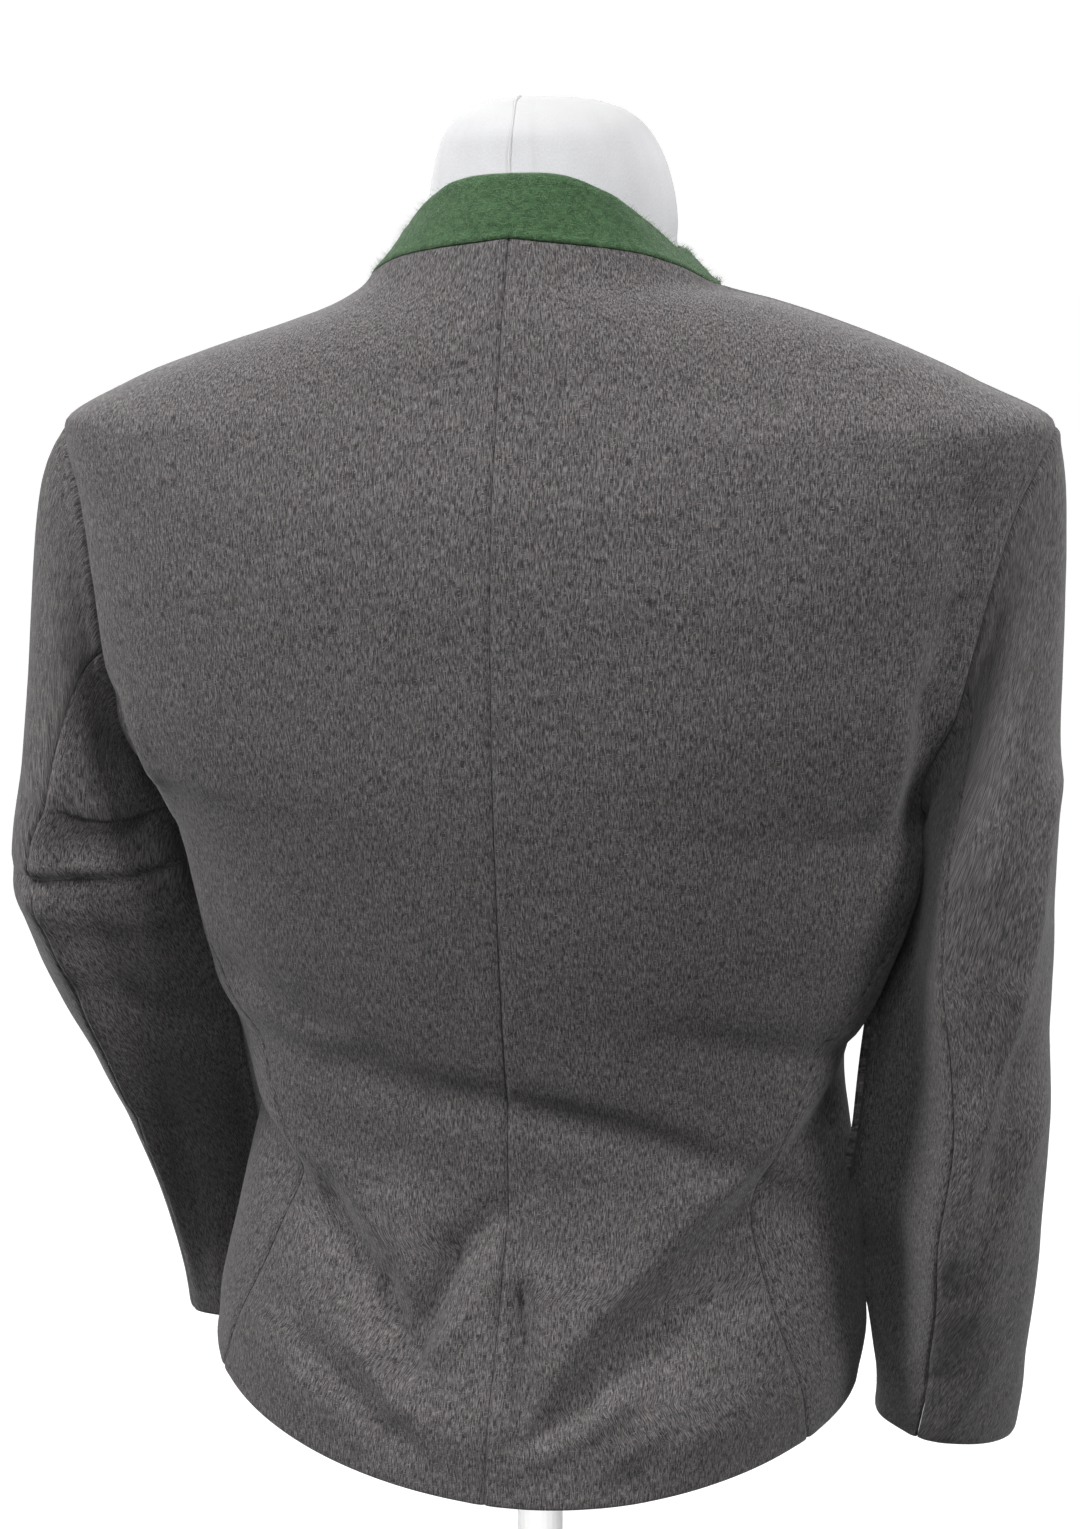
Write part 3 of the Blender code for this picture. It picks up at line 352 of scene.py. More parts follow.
def smooth_curve(keys, values):
    """A curve through the points that never swings past them (monotone cubic)."""
    keys = np.array(keys, float)
    values = np.array(values, float)
    spans = np.diff(keys)
    slopes = np.diff(values) / spans
    tangents = np.zeros(len(keys))
    tangents[0], tangents[-1] = slopes[0], slopes[-1]
    product = slopes[:-1] * slopes[1:]
    total = slopes[:-1] + slopes[1:]
    turning = product > 0
    tangents[1:-1][turning] = 2 * product[turning] / total[turning]

    def at(where):
        where = np.clip(where, keys[0], keys[-1])
        i = np.clip(np.searchsorted(keys, where, side="right") - 1, 0, len(spans) - 1)
        t = (where - keys[i]) / spans[i]
        start = (1 + 2 * t) * (1 - t) ** 2 * values[i]
        end = t * t * (3 - 2 * t) * values[i + 1]
        bend = t * (1 - t) ** 2 * tangents[i] - t * t * (1 - t) * tangents[i + 1]
        return start + end + bend * spans[i]

    return at


def table_curves(columns, rows):
    keys = [row[0] for row in rows]
    ordered = sorted(range(len(rows)), key=lambda i: keys[i])
    return {
        name: smooth_curve([keys[i] for i in ordered], [rows[i][c] for i in ordered])
        for c, name in enumerate(columns)
        if c > 0
    }


BODY = table_curves(BODY_COLUMNS, BODY_RINGS)
FLAT = table_curves(FLATNESS_COLUMNS, FLATNESS)
SIDE_BACK = table_curves(SIDE_BACK_COLUMNS, SIDE_BACK_SEAM)["share"]
SIDE_FRONT = table_curves(SIDE_FRONT_COLUMNS, SIDE_FRONT_SEAM)["share"]
NECK_EDGE = {
    side: table_curves(NECKLINE_COLUMNS, NECKLINE[side])["height"] for side in (LEFT, RIGHT)
}
ARM = {side: table_curves(SLEEVE_COLUMNS, SLEEVE_RINGS[side]) for side in (LEFT, RIGHT)}
SINK = {side: table_curves(SINK_COLUMNS, SLEEVE_SINK[side])["depth"] for side in (LEFT, RIGHT)}
FORM = table_curves(FORM_COLUMNS, FORM_INSET)
NECK = table_curves(NECK_COLUMNS, NECK_RINGS)


def soft_step(value, start, end):
    part = np.clip((value - start) / (end - start), 0, 1)
    return part * part * (3 - 2 * part)


def unit(vectors):
    length = np.linalg.norm(vectors, axis=-1, keepdims=True)
    return vectors / np.maximum(length, 1e-9)


def bell(distance, width, power=2.0):
    return np.exp(-np.abs(distance / width) ** power)


def turn_to(normals, other, distance, width):
    """Normals that turn to another direction beside an edge."""
    near = bell(distance, width)[..., None]
    return unit(normals * (1 - near) + other * near)


def unevenness(across, along, cell, seed):
    """Smooth random height between -1 and 1, over cells of the given size in mm."""
    cells = 64
    table = np.random.default_rng(seed).uniform(-1, 1, (cells, cells))
    x, y = np.broadcast_arrays(across / cell, along / cell)
    column, row = np.floor(x).astype(int), np.floor(y).astype(int)
    fx, fy = x - column, y - row
    fx, fy = fx * fx * (3 - 2 * fx), fy * fy * (3 - 2 * fy)
    corner = {
        (i, j): table[(column + i) % cells, (row + j) % cells] for i in (0, 1) for j in (0, 1)
    }
    low = corner[0, 0] * (1 - fx) + corner[1, 0] * fx
    high = corner[0, 1] * (1 - fx) + corner[1, 1] * fx
    return low * (1 - fy) + high * fy


def crease_rise(x, z, creases, seed):
    """Height of the folds at a point. Each one's line wanders and its depth varies a little."""
    ridge = np.zeros(np.broadcast(x, z).shape)
    trough = np.zeros(np.broadcast(x, z).shape)
    for number, row in enumerate(creases):
        crease = dict(zip(CREASE_COLUMNS, row))
        run = np.array((crease["x1"] - crease["x0"], crease["z1"] - crease["z0"]), float)
        length = np.hypot(*run)
        along = ((x - crease["x0"]) * run[0] + (z - crease["z0"]) * run[1]) / length
        across = ((x - crease["x0"]) * run[1] - (z - crease["z0"]) * run[0]) / length
        wander = unevenness(along, 7.0 * number, WANDER_CELL, seed + number)
        across = across + LINE_WANDER * wander
        beyond = np.maximum(0, np.maximum(-along, along - length))
        width = np.where(across > 0, crease["right"], crease["left"])
        run_out = min(crease["right"], crease["left"]) + CREASE_END
        distance = np.sqrt((across / width) ** 2 + (beyond / run_out) ** 2)
        depth = 1 + DEPTH_WANDER * unevenness(along, across, DEPTH_CELL, seed + 40 + number)
        height = crease["rise"] * depth * bell(distance, 1.0, crease["edge"])
        ridge = np.maximum(ridge, height)
        trough = np.minimum(trough, height)
    return ridge + trough


# ---- the body's surface


def smooth_body(side, share, height):
    angle = math.pi * np.asarray(share, float)
    height = np.asarray(height, float)
    half = BODY[SIDE_NAMES[side]](height)
    side_y = BODY["side_y"](height)
    toward = np.cos(angle)
    flat_back = FLAT["back_" + SIDE_NAMES[side]](height)
    back = (BODY["back_y"](height) - side_y) * np.abs(toward) ** flat_back
    front = (side_y - BODY["front_y"](height)) * np.abs(toward) ** FLAT["front"](height)
    y = side_y + np.where(toward >= 0, back, -front)
    for middle, spread, belly in SIDE_BELLY[side]:
        half = half + belly * bell(height - middle, spread) * bell(share - 0.5, BELLY_SHARE)
    x = side * half * np.sin(angle)
    tilted = np.clip((height - UNDERARM_HEIGHT) / (SHOULDER_HEIGHT - UNDERARM_HEIGHT), 0, 1)
    near_neck = (NECK_POINT_HEIGHT - height) / (NECK_POINT_HEIGHT - SHOULDER_HEIGHT)
    near_neck = np.clip(near_neck, 0, 1)
    z = height - SHOULDER_TILT * x * np.minimum(tilted, near_neck)
    return np.stack(np.broadcast_arrays(x, y, z), -1)


def surface_normal(surface, side, share, height):
    step_share, step_height = 0.002, 0.6
    high = np.minimum(height + step_height, NECK_BACK_HEIGHT)
    low = np.maximum(height - step_height, 0)
    along = surface(side, share + step_share, height) - surface(side, share - step_share, height)
    up = surface(side, share, high) - surface(side, share, low)
    return unit(np.cross(up, along)) * side


def fold_rise(point, share):
    """Height of the body's folds at points of its smooth surface."""
    toward = np.cos(math.pi * np.asarray(share, float))
    on_back = np.clip(toward / CREASE_FADE, 0, 1)
    on_front = np.clip(-toward / CREASE_FADE, 0, 1)
    tucked = HEM_TUCK * bell(point[..., 2], HEM_TUCK_HEIGHT)
    tucked = tucked * (HEM_TUCK_SIDE + (1 - HEM_TUCK_SIDE) * toward**2)
    rise = on_back * crease_rise(point[..., 0], point[..., 2], BACK_CREASES, 100)
    rise = rise + on_front * crease_rise(point[..., 0], point[..., 2], FRONT_CREASES, 200)
    return rise - tucked


def body(side, share, height):
    point = smooth_body(side, share, height)
    out = surface_normal(smooth_body, side, share, height)
    return point + out * fold_rise(point, share)[..., None]


def armhole(side, step):
    angle = 2 * math.pi * np.asarray(step, float) / ARMHOLE_STEPS
    middle = (SHOULDER_HEIGHT + UNDERARM_HEIGHT) / 2
    height = middle + (SHOULDER_HEIGHT - UNDERARM_HEIGHT) / 2 * np.cos(angle)
    reach = np.where(np.sin(angle) >= 0, -ARMHOLE_BACK[side], ARMHOLE_FRONT[side])
    return 0.5 + reach * np.abs(np.sin(angle)), height


# ---- the sleeves' surfaces


def sleeve_ring(side, height, angle):
    arm = ARM[side]
    turn = angle + np.radians(arm["twist"](height))
    reach_x = arm["half_x"](height) * np.cos(turn)
    reach_y = arm["half_y"](height) * np.sin(turn)
    x = side * (arm["centre_x"](height) + reach_x)
    y = arm["centre_y"](height) + reach_y
    z = height + arm["tilt"](height) * reach_x + arm["lean"](height) * reach_y
    return np.stack(np.broadcast_arrays(x, y, z), -1)


def smooth_sleeve(side, row, step):
    """Point of a sleeve: row 0 is the armhole, 1 the upper arm, 2 the cuff."""
    row, step = np.asarray(row, float), np.asarray(step, float)
    angle = 2 * math.pi * step / ARMHOLE_STEPS
    table = SLEEVE_RINGS[side]
    first, last = table[0][0], table[-1][0]
    start = body(side, *armhole(side, step))
    end = sleeve_ring(side, np.full(step.shape, float(first)), angle)
    below = sleeve_ring(side, np.full(step.shape, first - 1.0), angle)
    low = ((1 - np.cos(angle)) / 2)[..., None]
    pull = dict(zip(CAP_COLUMNS, CAP_PULLS[side]))
    out_pull = pull["out_top"] + (pull["out_low"] - pull["out_top"]) * low
    down_pull = pull["down_top"] + (pull["down_low"] - pull["down_top"]) * low
    leave = np.array((side, 0, 0)) * out_pull + np.array((0, 0, -1)) * down_pull
    arrive = unit(below - end) * (pull["in_top"] + (pull["in_low"] - pull["in_top"]) * low)
    t = np.clip(row, 0, 1)[..., None]
    cap = (
        (1 + 2 * t) * (1 - t) ** 2 * start
        + t * t * (3 - 2 * t) * end
        + t * (1 - t) ** 2 * leave
        - t * t * (1 - t) * arrive
    )
    arm = sleeve_ring(side, first + (last - first) * np.clip(row - 1, 0, 1), angle)
    return np.where(t < 1, cap, arm)


def sleeve_normal(surface, side, row, step):
    low_row, high_row = np.maximum(row - 0.01, 0), np.minimum(row + 0.01, 2)
    down = surface(side, high_row, step) - surface(side, low_row, step)
    along = surface(side, row, step + 0.05) - surface(side, row, step - 0.05)
    return unit(np.cross(along, down)) * -side


def sleeve(side, row, step):
    point = smooth_sleeve(side, row, step)
    out = sleeve_normal(smooth_sleeve, side, row, step)
    behind = point[..., 1] - ARM[side]["centre_y"](point[..., 2])
    on_back = np.clip(behind / SLEEVE_CREASE_FADE, 0, 1) * np.clip(row, 0, 1)
    seed = 300 + 100 * (side == LEFT)
    start, full, thin, end = SINK_STEPS[side]
    level = point[..., 2]
    sunk = soft_step(step, start, full) * (1 - soft_step(step, thin, end)) * soft_step(row, 0.5, 1)
    point[..., 1] -= sunk * SINK[side](level)
    for middle, spread, belly in SLEEVE_BELLY[side]:
        near = bell(level - middle, spread) * bell(step - BELLY_STEP[side], BELLY_STEPS)
        point[..., 0] -= side * belly * near * np.clip(row, 0, 1)
    rise = crease_rise(point[..., 0], point[..., 2], SLEEVE_CREASES[side], seed) * on_back
    return point + out * rise[..., None]


# ---- panels


def fine_parts(length, first=True, last=True):
    """Parts from 0 to 1 along a line of cloth, closer together beside its sewn ends."""
    offsets = np.array(EDGE_OFFSETS)
    start = offsets if first else np.array((0.0,))
    end = length - offsets[::-1] if last else np.array((length,))
    count = max(2, int(round((end[0] - start[-1]) / CLOTH_STEP)))
    middle = np.linspace(start[-1], end[0], count + 1)[1:-1]
    return np.concatenate([start, middle, end]) / length


def run_lengths(grid, axis):
    """Distance along a grid's lines from their first point, and their whole lengths."""
    steps = np.linalg.norm(np.diff(grid, axis=axis), axis=-1)
    pad = [(0, 0), (0, 0)]
    pad[axis] = (1, 0)
    along = np.cumsum(np.pad(steps, pad), axis=axis)
    return along, np.take(along, [-1], axis=axis)


def link(name, data):
    """A scene object that holds this data."""
    item = bpy.data.objects.new(name, data)
    bpy.context.scene.collection.objects.link(item)
    return item


def face_outwards(mesh):
    bm = bmesh.new()
    bm.from_mesh(mesh)
    bmesh.ops.recalc_face_normals(bm, faces=bm.faces)
    bm.to_mesh(mesh)
    bm.free()


def lay_flat(mesh, maps):
    """Give a mesh its cloth's own coordinates, from mm at each of its points."""
    layer = mesh.uv_layers.new(name="flat")
    which = np.zeros(len(mesh.loops), np.int32)
    mesh.loops.foreach_get("vertex_index", which)
    layer.uv.foreach_set("vector", (maps[which] * MM).astype(np.float32).ravel())


def turned_mesh(name, profile, steps):
    """What a profile of (radius, height) makes, turned about the upright axis."""
    bm = bmesh.new()
    line = [bm.verts.new((radius, 0, height)) for radius, height in profile]
    edges = [bm.edges.new(pair) for pair in zip(line, line[1:])]
    bmesh.ops.spin(
        bm, geom=line + edges, axis=(0, 0, 1), cent=(0, 0, 0), steps=steps,
        angle=2 * math.pi, use_duplicate=False,
    )
    bmesh.ops.remove_doubles(bm, verts=bm.verts, dist=WELD)
    bmesh.ops.recalc_face_normals(bm, faces=bm.faces)
    mesh = bpy.data.meshes.new(name)
    bm.to_mesh(mesh)
    bm.free()
    return mesh


def to_scene(points):
    lifted = np.array(points, float)
    lifted[..., 2] += HEM_HEIGHT
    return lifted * MM


# Relief of the cloth beside an edge, by how it is finished (mm): a dip's height and spread at
# the edge; a swell's even height, its puckered height, its place and its spread; and fine
# unevenness, with its place and spread.
RELIEF = {
    "pressed": (-0.85, 0.9, 0.16, 0.24, 5.0, 3.2, -0.12, 2.0, 2.4),   # allowances pressed open
    "sunk": (-0.9, 1.1, 0.0, -0.25, 2.5, 3.0, 0.0, 0.0, 1.0),         # the sleeve rolls over it
    "rolled": (-0.7, 0.7, 0.55, 0.4, 3.2, 3.0, 0.15, 4.0, 4.0),       # over both allowances
    "joined": (-0.45, 1.0, 0.0, 0.2, 5.0, 3.2, 0.0, 0.0, 1.0),        # beneath the collar's edge
    "turned": (-0.45, 1.3, 0.1, 0.25, 6.0, 5.0, 0.0, 0.0, 1.0),       # a turned free edge
}


def seam_relief(distance, along, kind, seed):
    dip, dip_spread, even, puckered, at, spread, rough, rough_at, rough_spread = RELIEF[kind]
    pucker = 0.5 + 0.5 * unevenness(along, 3.0 * seed, 11, seed)
    fine = unevenness(along, 5.0 * seed, 4.5, seed + 1)
    swell = (even + puckered * pucker) * bell(distance - at, spread)
    rise = dip * bell(distance, dip_spread) + swell
    return rise + rough * fine * bell(distance - rough_at, rough_spread)


def rim_between(outer, inner, away):
    """Points that round an edge from the outer face to the inner one."""
    return [
        outer + (inner - outer) * part + away * math.sin(math.pi * part)
        for part in (0.14, 0.5, 0.86)
    ]


def add_shell(name, outer, normals, material, flat, bulges):
    """A closed thin shell: a grid of outer points, an inner one, and a rim between them.

    bulges gives how far the rim stands out at the bottom, last, top and first edges. flat is
    the cloth's own coordinates in mm, for its weave."""
    rows, columns = outer.shape[:2]
    inner = outer - normals * WALL
    index = np.arange(rows * columns).reshape(rows, columns)
    count = rows * columns
    points = [outer.reshape(-1, 3), inner.reshape(-1, 3)]
    maps = [flat.reshape(-1, 2), flat.reshape(-1, 2)]
    a, b = index[:-1, :-1], index[:-1, 1:]
    c, d = index[1:, 1:], index[1:, :-1]
    faces = [
        np.stack([a, b, c, d], -1).reshape(-1, 4),
        np.stack([a, d, c, b], -1).reshape(-1, 4) + count,
    ]
    loop = [(0, c) for c in range(columns)]
    loop += [(r, columns - 1) for r in range(1, rows)]
    loop += [(rows - 1, c) for c in range(columns - 2, -1, -1)]
    loop += [(r, 0) for r in range(rows - 2, 0, -1)]
    r, c = np.array(loop).T
    away = np.zeros((len(loop), 3))
    for edge, (beside, here) in enumerate((
        ((np.minimum(r + 1, rows - 1), c), r == 0),
        ((r, np.maximum(c - 1, 0)), c == columns - 1),
        ((np.maximum(r - 1, 0), c), r == rows - 1),
        ((r, np.minimum(c + 1, columns - 1)), c == 0),
    )):
        out = unit(outer[r, c] - outer[beside]) * bulges[edge]
        away += np.where(here[:, None], out, 0)
    loops = [index[r, c]]
    base = 2 * count
    for row in rim_between(outer[r, c], inner[r, c], away):
        points.append(row)
        maps.append(flat[r, c])
        loops.append(base + np.arange(len(loop)))
        base += len(loop)
    loops.append(index[r, c] + count)
    for upper, lower in zip(loops, loops[1:]):
        faces.append(np.stack([
            upper, lower, np.roll(lower, -1), np.roll(upper, -1)
        ], -1))
    points = to_scene(np.concatenate(points))
    return add_mesh(name, points, np.concatenate(faces), np.concatenate(maps), material)


def add_mesh(name, points, faces, maps, material):
    mesh = bpy.data.meshes.new(name)
    mesh.from_pydata(points.tolist(), [], faces.tolist())
    lay_flat(mesh, maps)
    face_outwards(mesh)
    mesh.shade_smooth()
    mesh.materials.append(material)
    item = link(name, mesh)
    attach(item, "root")
    return item


def draw_in(grid, bottom=0.0, last=0.0, top=0.0, first=0.0):
    """Draw a grid's edges in along its own surface, each by a length in mm."""
    grid = grid.copy()
    for edge, beside, amount in ((0, 1, bottom), (-1, -2, top)):
        if np.any(amount):
            grid[edge] += unit(grid[beside] - grid[edge]) * amount
    for edge, beside, amount in ((0, 1, first), (-1, -2, last)):
        if np.any(amount):
            amount = np.broadcast_to(amount, len(grid))[:, None]
            grid[:, edge] += unit(grid[:, beside] - grid[:, edge]) * amount
    return grid


def finish_edges(grid, normals, flat, kinds, seed):
    """Add the seams' relief and the cloth's slight unevenness to a panel's grid."""
    across, width = run_lengths(grid, 1)
    along, length = run_lengths(grid, 0)
    distances = (along, width - across, length - along, across)
    places = (across, along, across, along)
    rise = 0.0
    for number, (wave, cell) in enumerate(CLOTH_WAVES):
        rise = rise + wave * unevenness(flat[..., 0], flat[..., 1], cell, seed + number)
    for distance in distances:
        rise = rise * (1 - bell(distance, CALM_EDGE))
    for number, kind in enumerate(kinds):
        rise = rise + seam_relief(distances[number], places[number], kind, seed + 3 * number)
    return grid + normals * rise[..., None]


def edge_normals(side, step):
    """Wall direction round the armhole: half way between the body's and the sleeve's."""
    share, height = armhole(side, step)
    of_body = surface_normal(body, side, share, height)
    of_sleeve = sleeve_normal(sleeve, side, 0.0 * step, step)
    return unit(of_body + of_sleeve)


def collar_lift(share):
    to_side = np.sin(math.pi * share) ** np.where(share < 0.5, 2, 1)
    lean_at_middle = np.where(share < 0.5, COLLAR_BACK_LEAN, COLLAR_FRONT_LEAN)
    height = COLLAR_HEIGHT - COLLAR_SIDE_DROP * to_side
    inward = lean_at_middle + (COLLAR_SIDE_LEAN - lean_at_middle) * to_side
    return inward, np.sqrt(height ** 2 - inward ** 2)


def sunk_front(side, share):
    """How far the left front lies inside, where the right one covers it."""
    return UNDERLAP_DROP * soft_step(share, *UNDERLAP_SHARES) * (side == LEFT)


def collar_points(side, share, part):
    edge = NECK_EDGE[side](share)
    base = body(side, share, edge)
    base = base - surface_normal(body, side, share, edge) * sunk_front(side, share)[..., None]
    inward, up = collar_lift(share)
    centre = np.stack([0 * share, BODY["side_y"](edge), base[..., 2]], -1)
    lift = unit(centre - base) * inward[..., None] + np.array((0, 0, 1)) * up[..., None]
    return base + lift * np.asarray(part)[..., None]


def neckline_normals(side, share):
    share = np.minimum(share, 1)
    of_body = surface_normal(body, side, share, NECK_EDGE[side](share))
    step = 0.004
    along = collar_points(side, share + step, 0.5) - collar_points(side, share - step, 0.5)
    up = collar_points(side, share, 1.0) - collar_points(side, share, 0.0)
    return unit(of_body + unit(np.cross(up, along)) * side)


def seam_to_armhole(side, seam, step):
    share_at_arm, top = armhole(side, step)

    def share(height):
        return seam(height) + (share_at_arm - seam(top)) * (height / top) ** SEAM_EASE

    return share


def arm_steps(start, end):
    """Armhole steps from the side seam to the shoulder, no two rows closer than MIN_ROW."""
    fine = np.linspace(start, end, int(abs(end - start) * 10) + 1)
    kept, last = [], None
    for step in fine[1:]:
        height = float(armhole(LEFT, step)[1])
        if last is None or abs(height - last) >= MIN_ROW:
            kept.append(step)
            last = height
    kept[-1] = end
    return kept


def body_grid(side, top_step, edge_below, centre_share):
    """Shares and heights of a back or front, centre line first, armhole edge last."""
    top = float(armhole(side, top_step)[1])
    part = fine_parts(float(PANEL_SHARE * BODY[SIDE_NAMES[side]](OVERLAP_HEIGHT)))
    count = len(part)
    heights_low = top * fine_parts(top, last=False)
    shoulder_step = 0 if top_step <= ARMHOLE_STEPS // 2 else ARMHOLE_STEPS
    shares, heights, steps = [], [], []
    for height in heights_low:
        shares.append(centre_share + (edge_below(height) - centre_share) * part)
        heights.append(np.full(count, height))
        steps.append(None)
    for step in arm_steps(top_step, shoulder_step):
        share, height = armhole(side, step)
        shares.append(centre_share + (share - centre_share) * part)
        heights.append(np.full(count, height))
        steps.append(step)
    rise = NECK_BACK_HEIGHT - SHOULDER_HEIGHT
    for row in fine_parts(rise, first=False)[1:]:
        share = centre_share + (0.5 - centre_share) * part
        neck = NECK_EDGE[side](share)
        shares.append(share)
        heights.append(SHOULDER_HEIGHT + (neck - SHOULDER_HEIGHT) * row)
        steps.append(None)
    return np.array(shares), np.array(heights), steps


def body_panel(side, top_step, edge_below, centre_share):
    shares, heights, steps = body_grid(side, top_step, edge_below, centre_share)
    grid = body(side, shares, heights)
    normals = surface_normal(body, side, shares, heights)
    at_arm = np.array([i for i, step in enumerate(steps) if step is not None])
    of_edge = edge_normals(side, np.array([steps[i] for i in at_arm]))
    across, width = run_lengths(grid, 1)
    normals[at_arm] = turn_to(
        normals[at_arm], of_edge[:, None], (width - across)[at_arm], BODY_BLEND
    )
    along, length = run_lengths(grid, 0)
    of_neck = neckline_normals(side, shares[-1])[None]
    normals = turn_to(normals, of_neck, length - along, BODY_BLEND)
    grid = grid - normals * sunk_front(side, shares)[..., None]
    return grid, normals


def flat_map(grid, side):
    """The cloth's own coordinates: mm across the panel, and mm up it."""
    across = run_lengths(grid, 1)[0]
    along = run_lengths(grid, 0)[0]
    return np.stack([side * (across + 10), along], -1)


# ---- materials


class Graph:
    """A material's nodes, with short calls for the ones used here."""

    def __init__(self, name):
        self.material = bpy.data.materials.new(name)
        self.material.use_nodes = True
        self.nodes = self.material.node_tree.nodes
        self.links = self.material.node_tree.links
        self.shader = self.nodes["Principled BSDF"]

    def put(self, value, socket):
        if hasattr(value, "is_output"):
            self.links.new(value, socket)
        else:
            socket.default_value = value

    def node(self, kind, inputs=(), **settings):
        node = self.nodes.new("ShaderNode" + kind)
        for key, value in settings.items():
            setattr(node, key, value)
        for socket, value in dict(inputs).items():
            self.put(value, node.inputs[socket])
        return node

    def cloth(self):
        return self.node("UVMap", uv_map="flat").outputs["UV"]

    def place(self):
        return self.node("TexCoord").outputs["Object"]

    def stretched(self, vector, sizes, turn=0.0):
        """Coordinates in which a texture's features have these sizes in mm."""
        turned = self.node("VectorRotate", {"Vector": vector, "Angle": math.radians(turn)})
        scale = [1 / (MM * size) for size in sizes]
        mapped = self.node("Mapping", {"Vector": turned.outputs[0], "Scale": scale})
        return mapped.outputs[0]

    def noise(self, vector, low, high, detail=1.0, rough=0.5):
        """Noise of cell size 1, spread so that low becomes 0 and high becomes 1."""
        inputs = {"Vector": vector, "Scale": 1.0, "Detail": detail, "Roughness": rough}
        noise = self.node("TexNoise", inputs)
        return self.spread(noise.outputs["Fac"], low, high)

    def spread(self, value, low, high, to_low=0.0, to_high=1.0):
        inputs = {"Value": value, 1: low, 2: high, 3: to_low, 4: to_high}
        return self.node("MapRange", inputs).outputs[0]

    def mix(self, part, first, second, blend="MIX"):
        node = self.node("Mix", data_type="RGBA", blend_type=blend)
        for socket, value in ((0, part), (6, first), (7, second)):
            self.put(value, node.inputs[socket])
        return node.outputs[2]

    def sum(self, first, second, operation="ADD"):
        return self.node("Math", {0: first, 1: second}, operation=operation).outputs[0]

    def times(self, colour, other):
        return self.mix(1.0, colour, other, "MULTIPLY")

    def part_of(self, value, share):
        return self.sum(value, share, "MULTIPLY")

    def bump(self, height, strength, distance, normal=None):
        inputs = {"Height": height, "Strength": strength, "Distance": distance}
        if normal is not None:
            inputs["Normal"] = normal
        return self.node("Bump", inputs).outputs[0]

    def finish(self, colour, normal=None, roughness=0.9, **values):
        self.put(colour, self.shader.inputs["Base Color"])
        self.put(roughness, self.shader.inputs["Roughness"])
        if normal is not None:
            self.put(normal, self.shader.inputs["Normal"])
        for name, value in values.items():
            self.shader.inputs[name.replace("_", " ")].default_value = value
        return self.material


def grey(level, warm=0.0):
    return (level * (1 + warm), level, level * (1 - warm), 1)


def loden(name, level):
    """Fulled melange wool: dark and light fibres mostly along the grain, with stray hairs."""
    g = Graph(name)
    flat = g.cloth()
    fibres = g.noise(g.stretched(flat, (0.62, 4.4, 1)), 0.38, 0.62, 1.5)
    hairs = g.noise(g.stretched(flat, (0.5, 4.0, 1), 7), 0.58, 0.70)
    stray = g.noise(g.stretched(flat, (0.5, 2.6, 1), -38), 0.62, 0.74)
    cross = g.noise(g.stretched(flat, (2.4, 0.5, 1), 9), 0.62, 0.74)
    blotch = g.noise(g.stretched(flat, (9, 14, 1)), 0.3, 0.7, 2.0)
    streaks = g.noise(g.stretched(flat, (1.9, 26, 1)), 0.32, 0.68, 1.0)
    tint = g.noise(g.stretched(flat, (1.0, 4, 1)), 0.35, 0.65)
    base = g.mix(fibres, grey(level * 0.34), grey(level * 1.55))
    tinted = g.mix(tint, (1.10, 0.985, 0.985, 1), (1.03, 0.985, 1.03, 1))
    base = g.times(base, tinted)
    base = g.times(base, g.mix(blotch, grey(0.88), grey(1.10)))
    base = g.times(base, g.mix(streaks, grey(0.84), grey(1.15)))
    light = g.sum(g.sum(hairs, stray, "MAXIMUM"), cross, "MAXIMUM")
    colour = g.mix(g.part_of(light, 0.62), base, grey(level * 3.6, 0.04))
    height = g.sum(g.part_of(fibres, 0.6), light)
    normal = g.bump(height, 0.55, 0.00022)
    return g.finish(
        colour, normal, 0.92, Specular_IOR_Level=0.18, Sheen_Weight=0.16, Sheen_Roughness=0.45
    )


def felt(name):
    """Dense green wool felt with a mottled, hairy surface."""
    g = Graph(name)
    place = g.place()
    coarse = g.noise(g.stretched(place, (3.2, 3.2, 2.6)), 0.36, 0.64, 2.0)
    fine = g.noise(g.stretched(place, (0.6, 0.6, 0.6)), 0.35, 0.65, 2.0)
    hairs = g.noise(g.stretched(place, (0.5, 0.5, 2.6), 30), 0.60, 0.72)
    stray = g.noise(g.stretched(place, (2.2, 2.2, 0.5), -20), 0.60, 0.72)
    gold = g.noise(g.stretched(place, (1.0, 1.0, 1.4)), 0.72, 0.80)
    base = g.mix(coarse, (0.020, 0.060, 0.022, 1), (0.050, 0.112, 0.046, 1))
    base = g.mix(g.part_of(fine, 0.4), base, (0.078, 0.155, 0.072, 1))
    light = g.sum(hairs, stray, "MAXIMUM")
    base = g.mix(g.part_of(light, 0.45), base, (0.13, 0.22, 0.115, 1))
    base = g.mix(g.part_of(gold, 0.5), base, (0.30, 0.30, 0.10, 1))
    height = g.sum(g.sum(fine, light), g.part_of(coarse, 1.5))
    normal = g.bump(height, 0.7, 0.00028)
    return g.finish(
        base, normal, 0.95, Specular_IOR_Level=0.15, Sheen_Weight=0.25, Sheen_Roughness=0.5
    )


NECK_SHADE = (0.886, 0.912)  # heights (m) between which the neck's cover gets darker


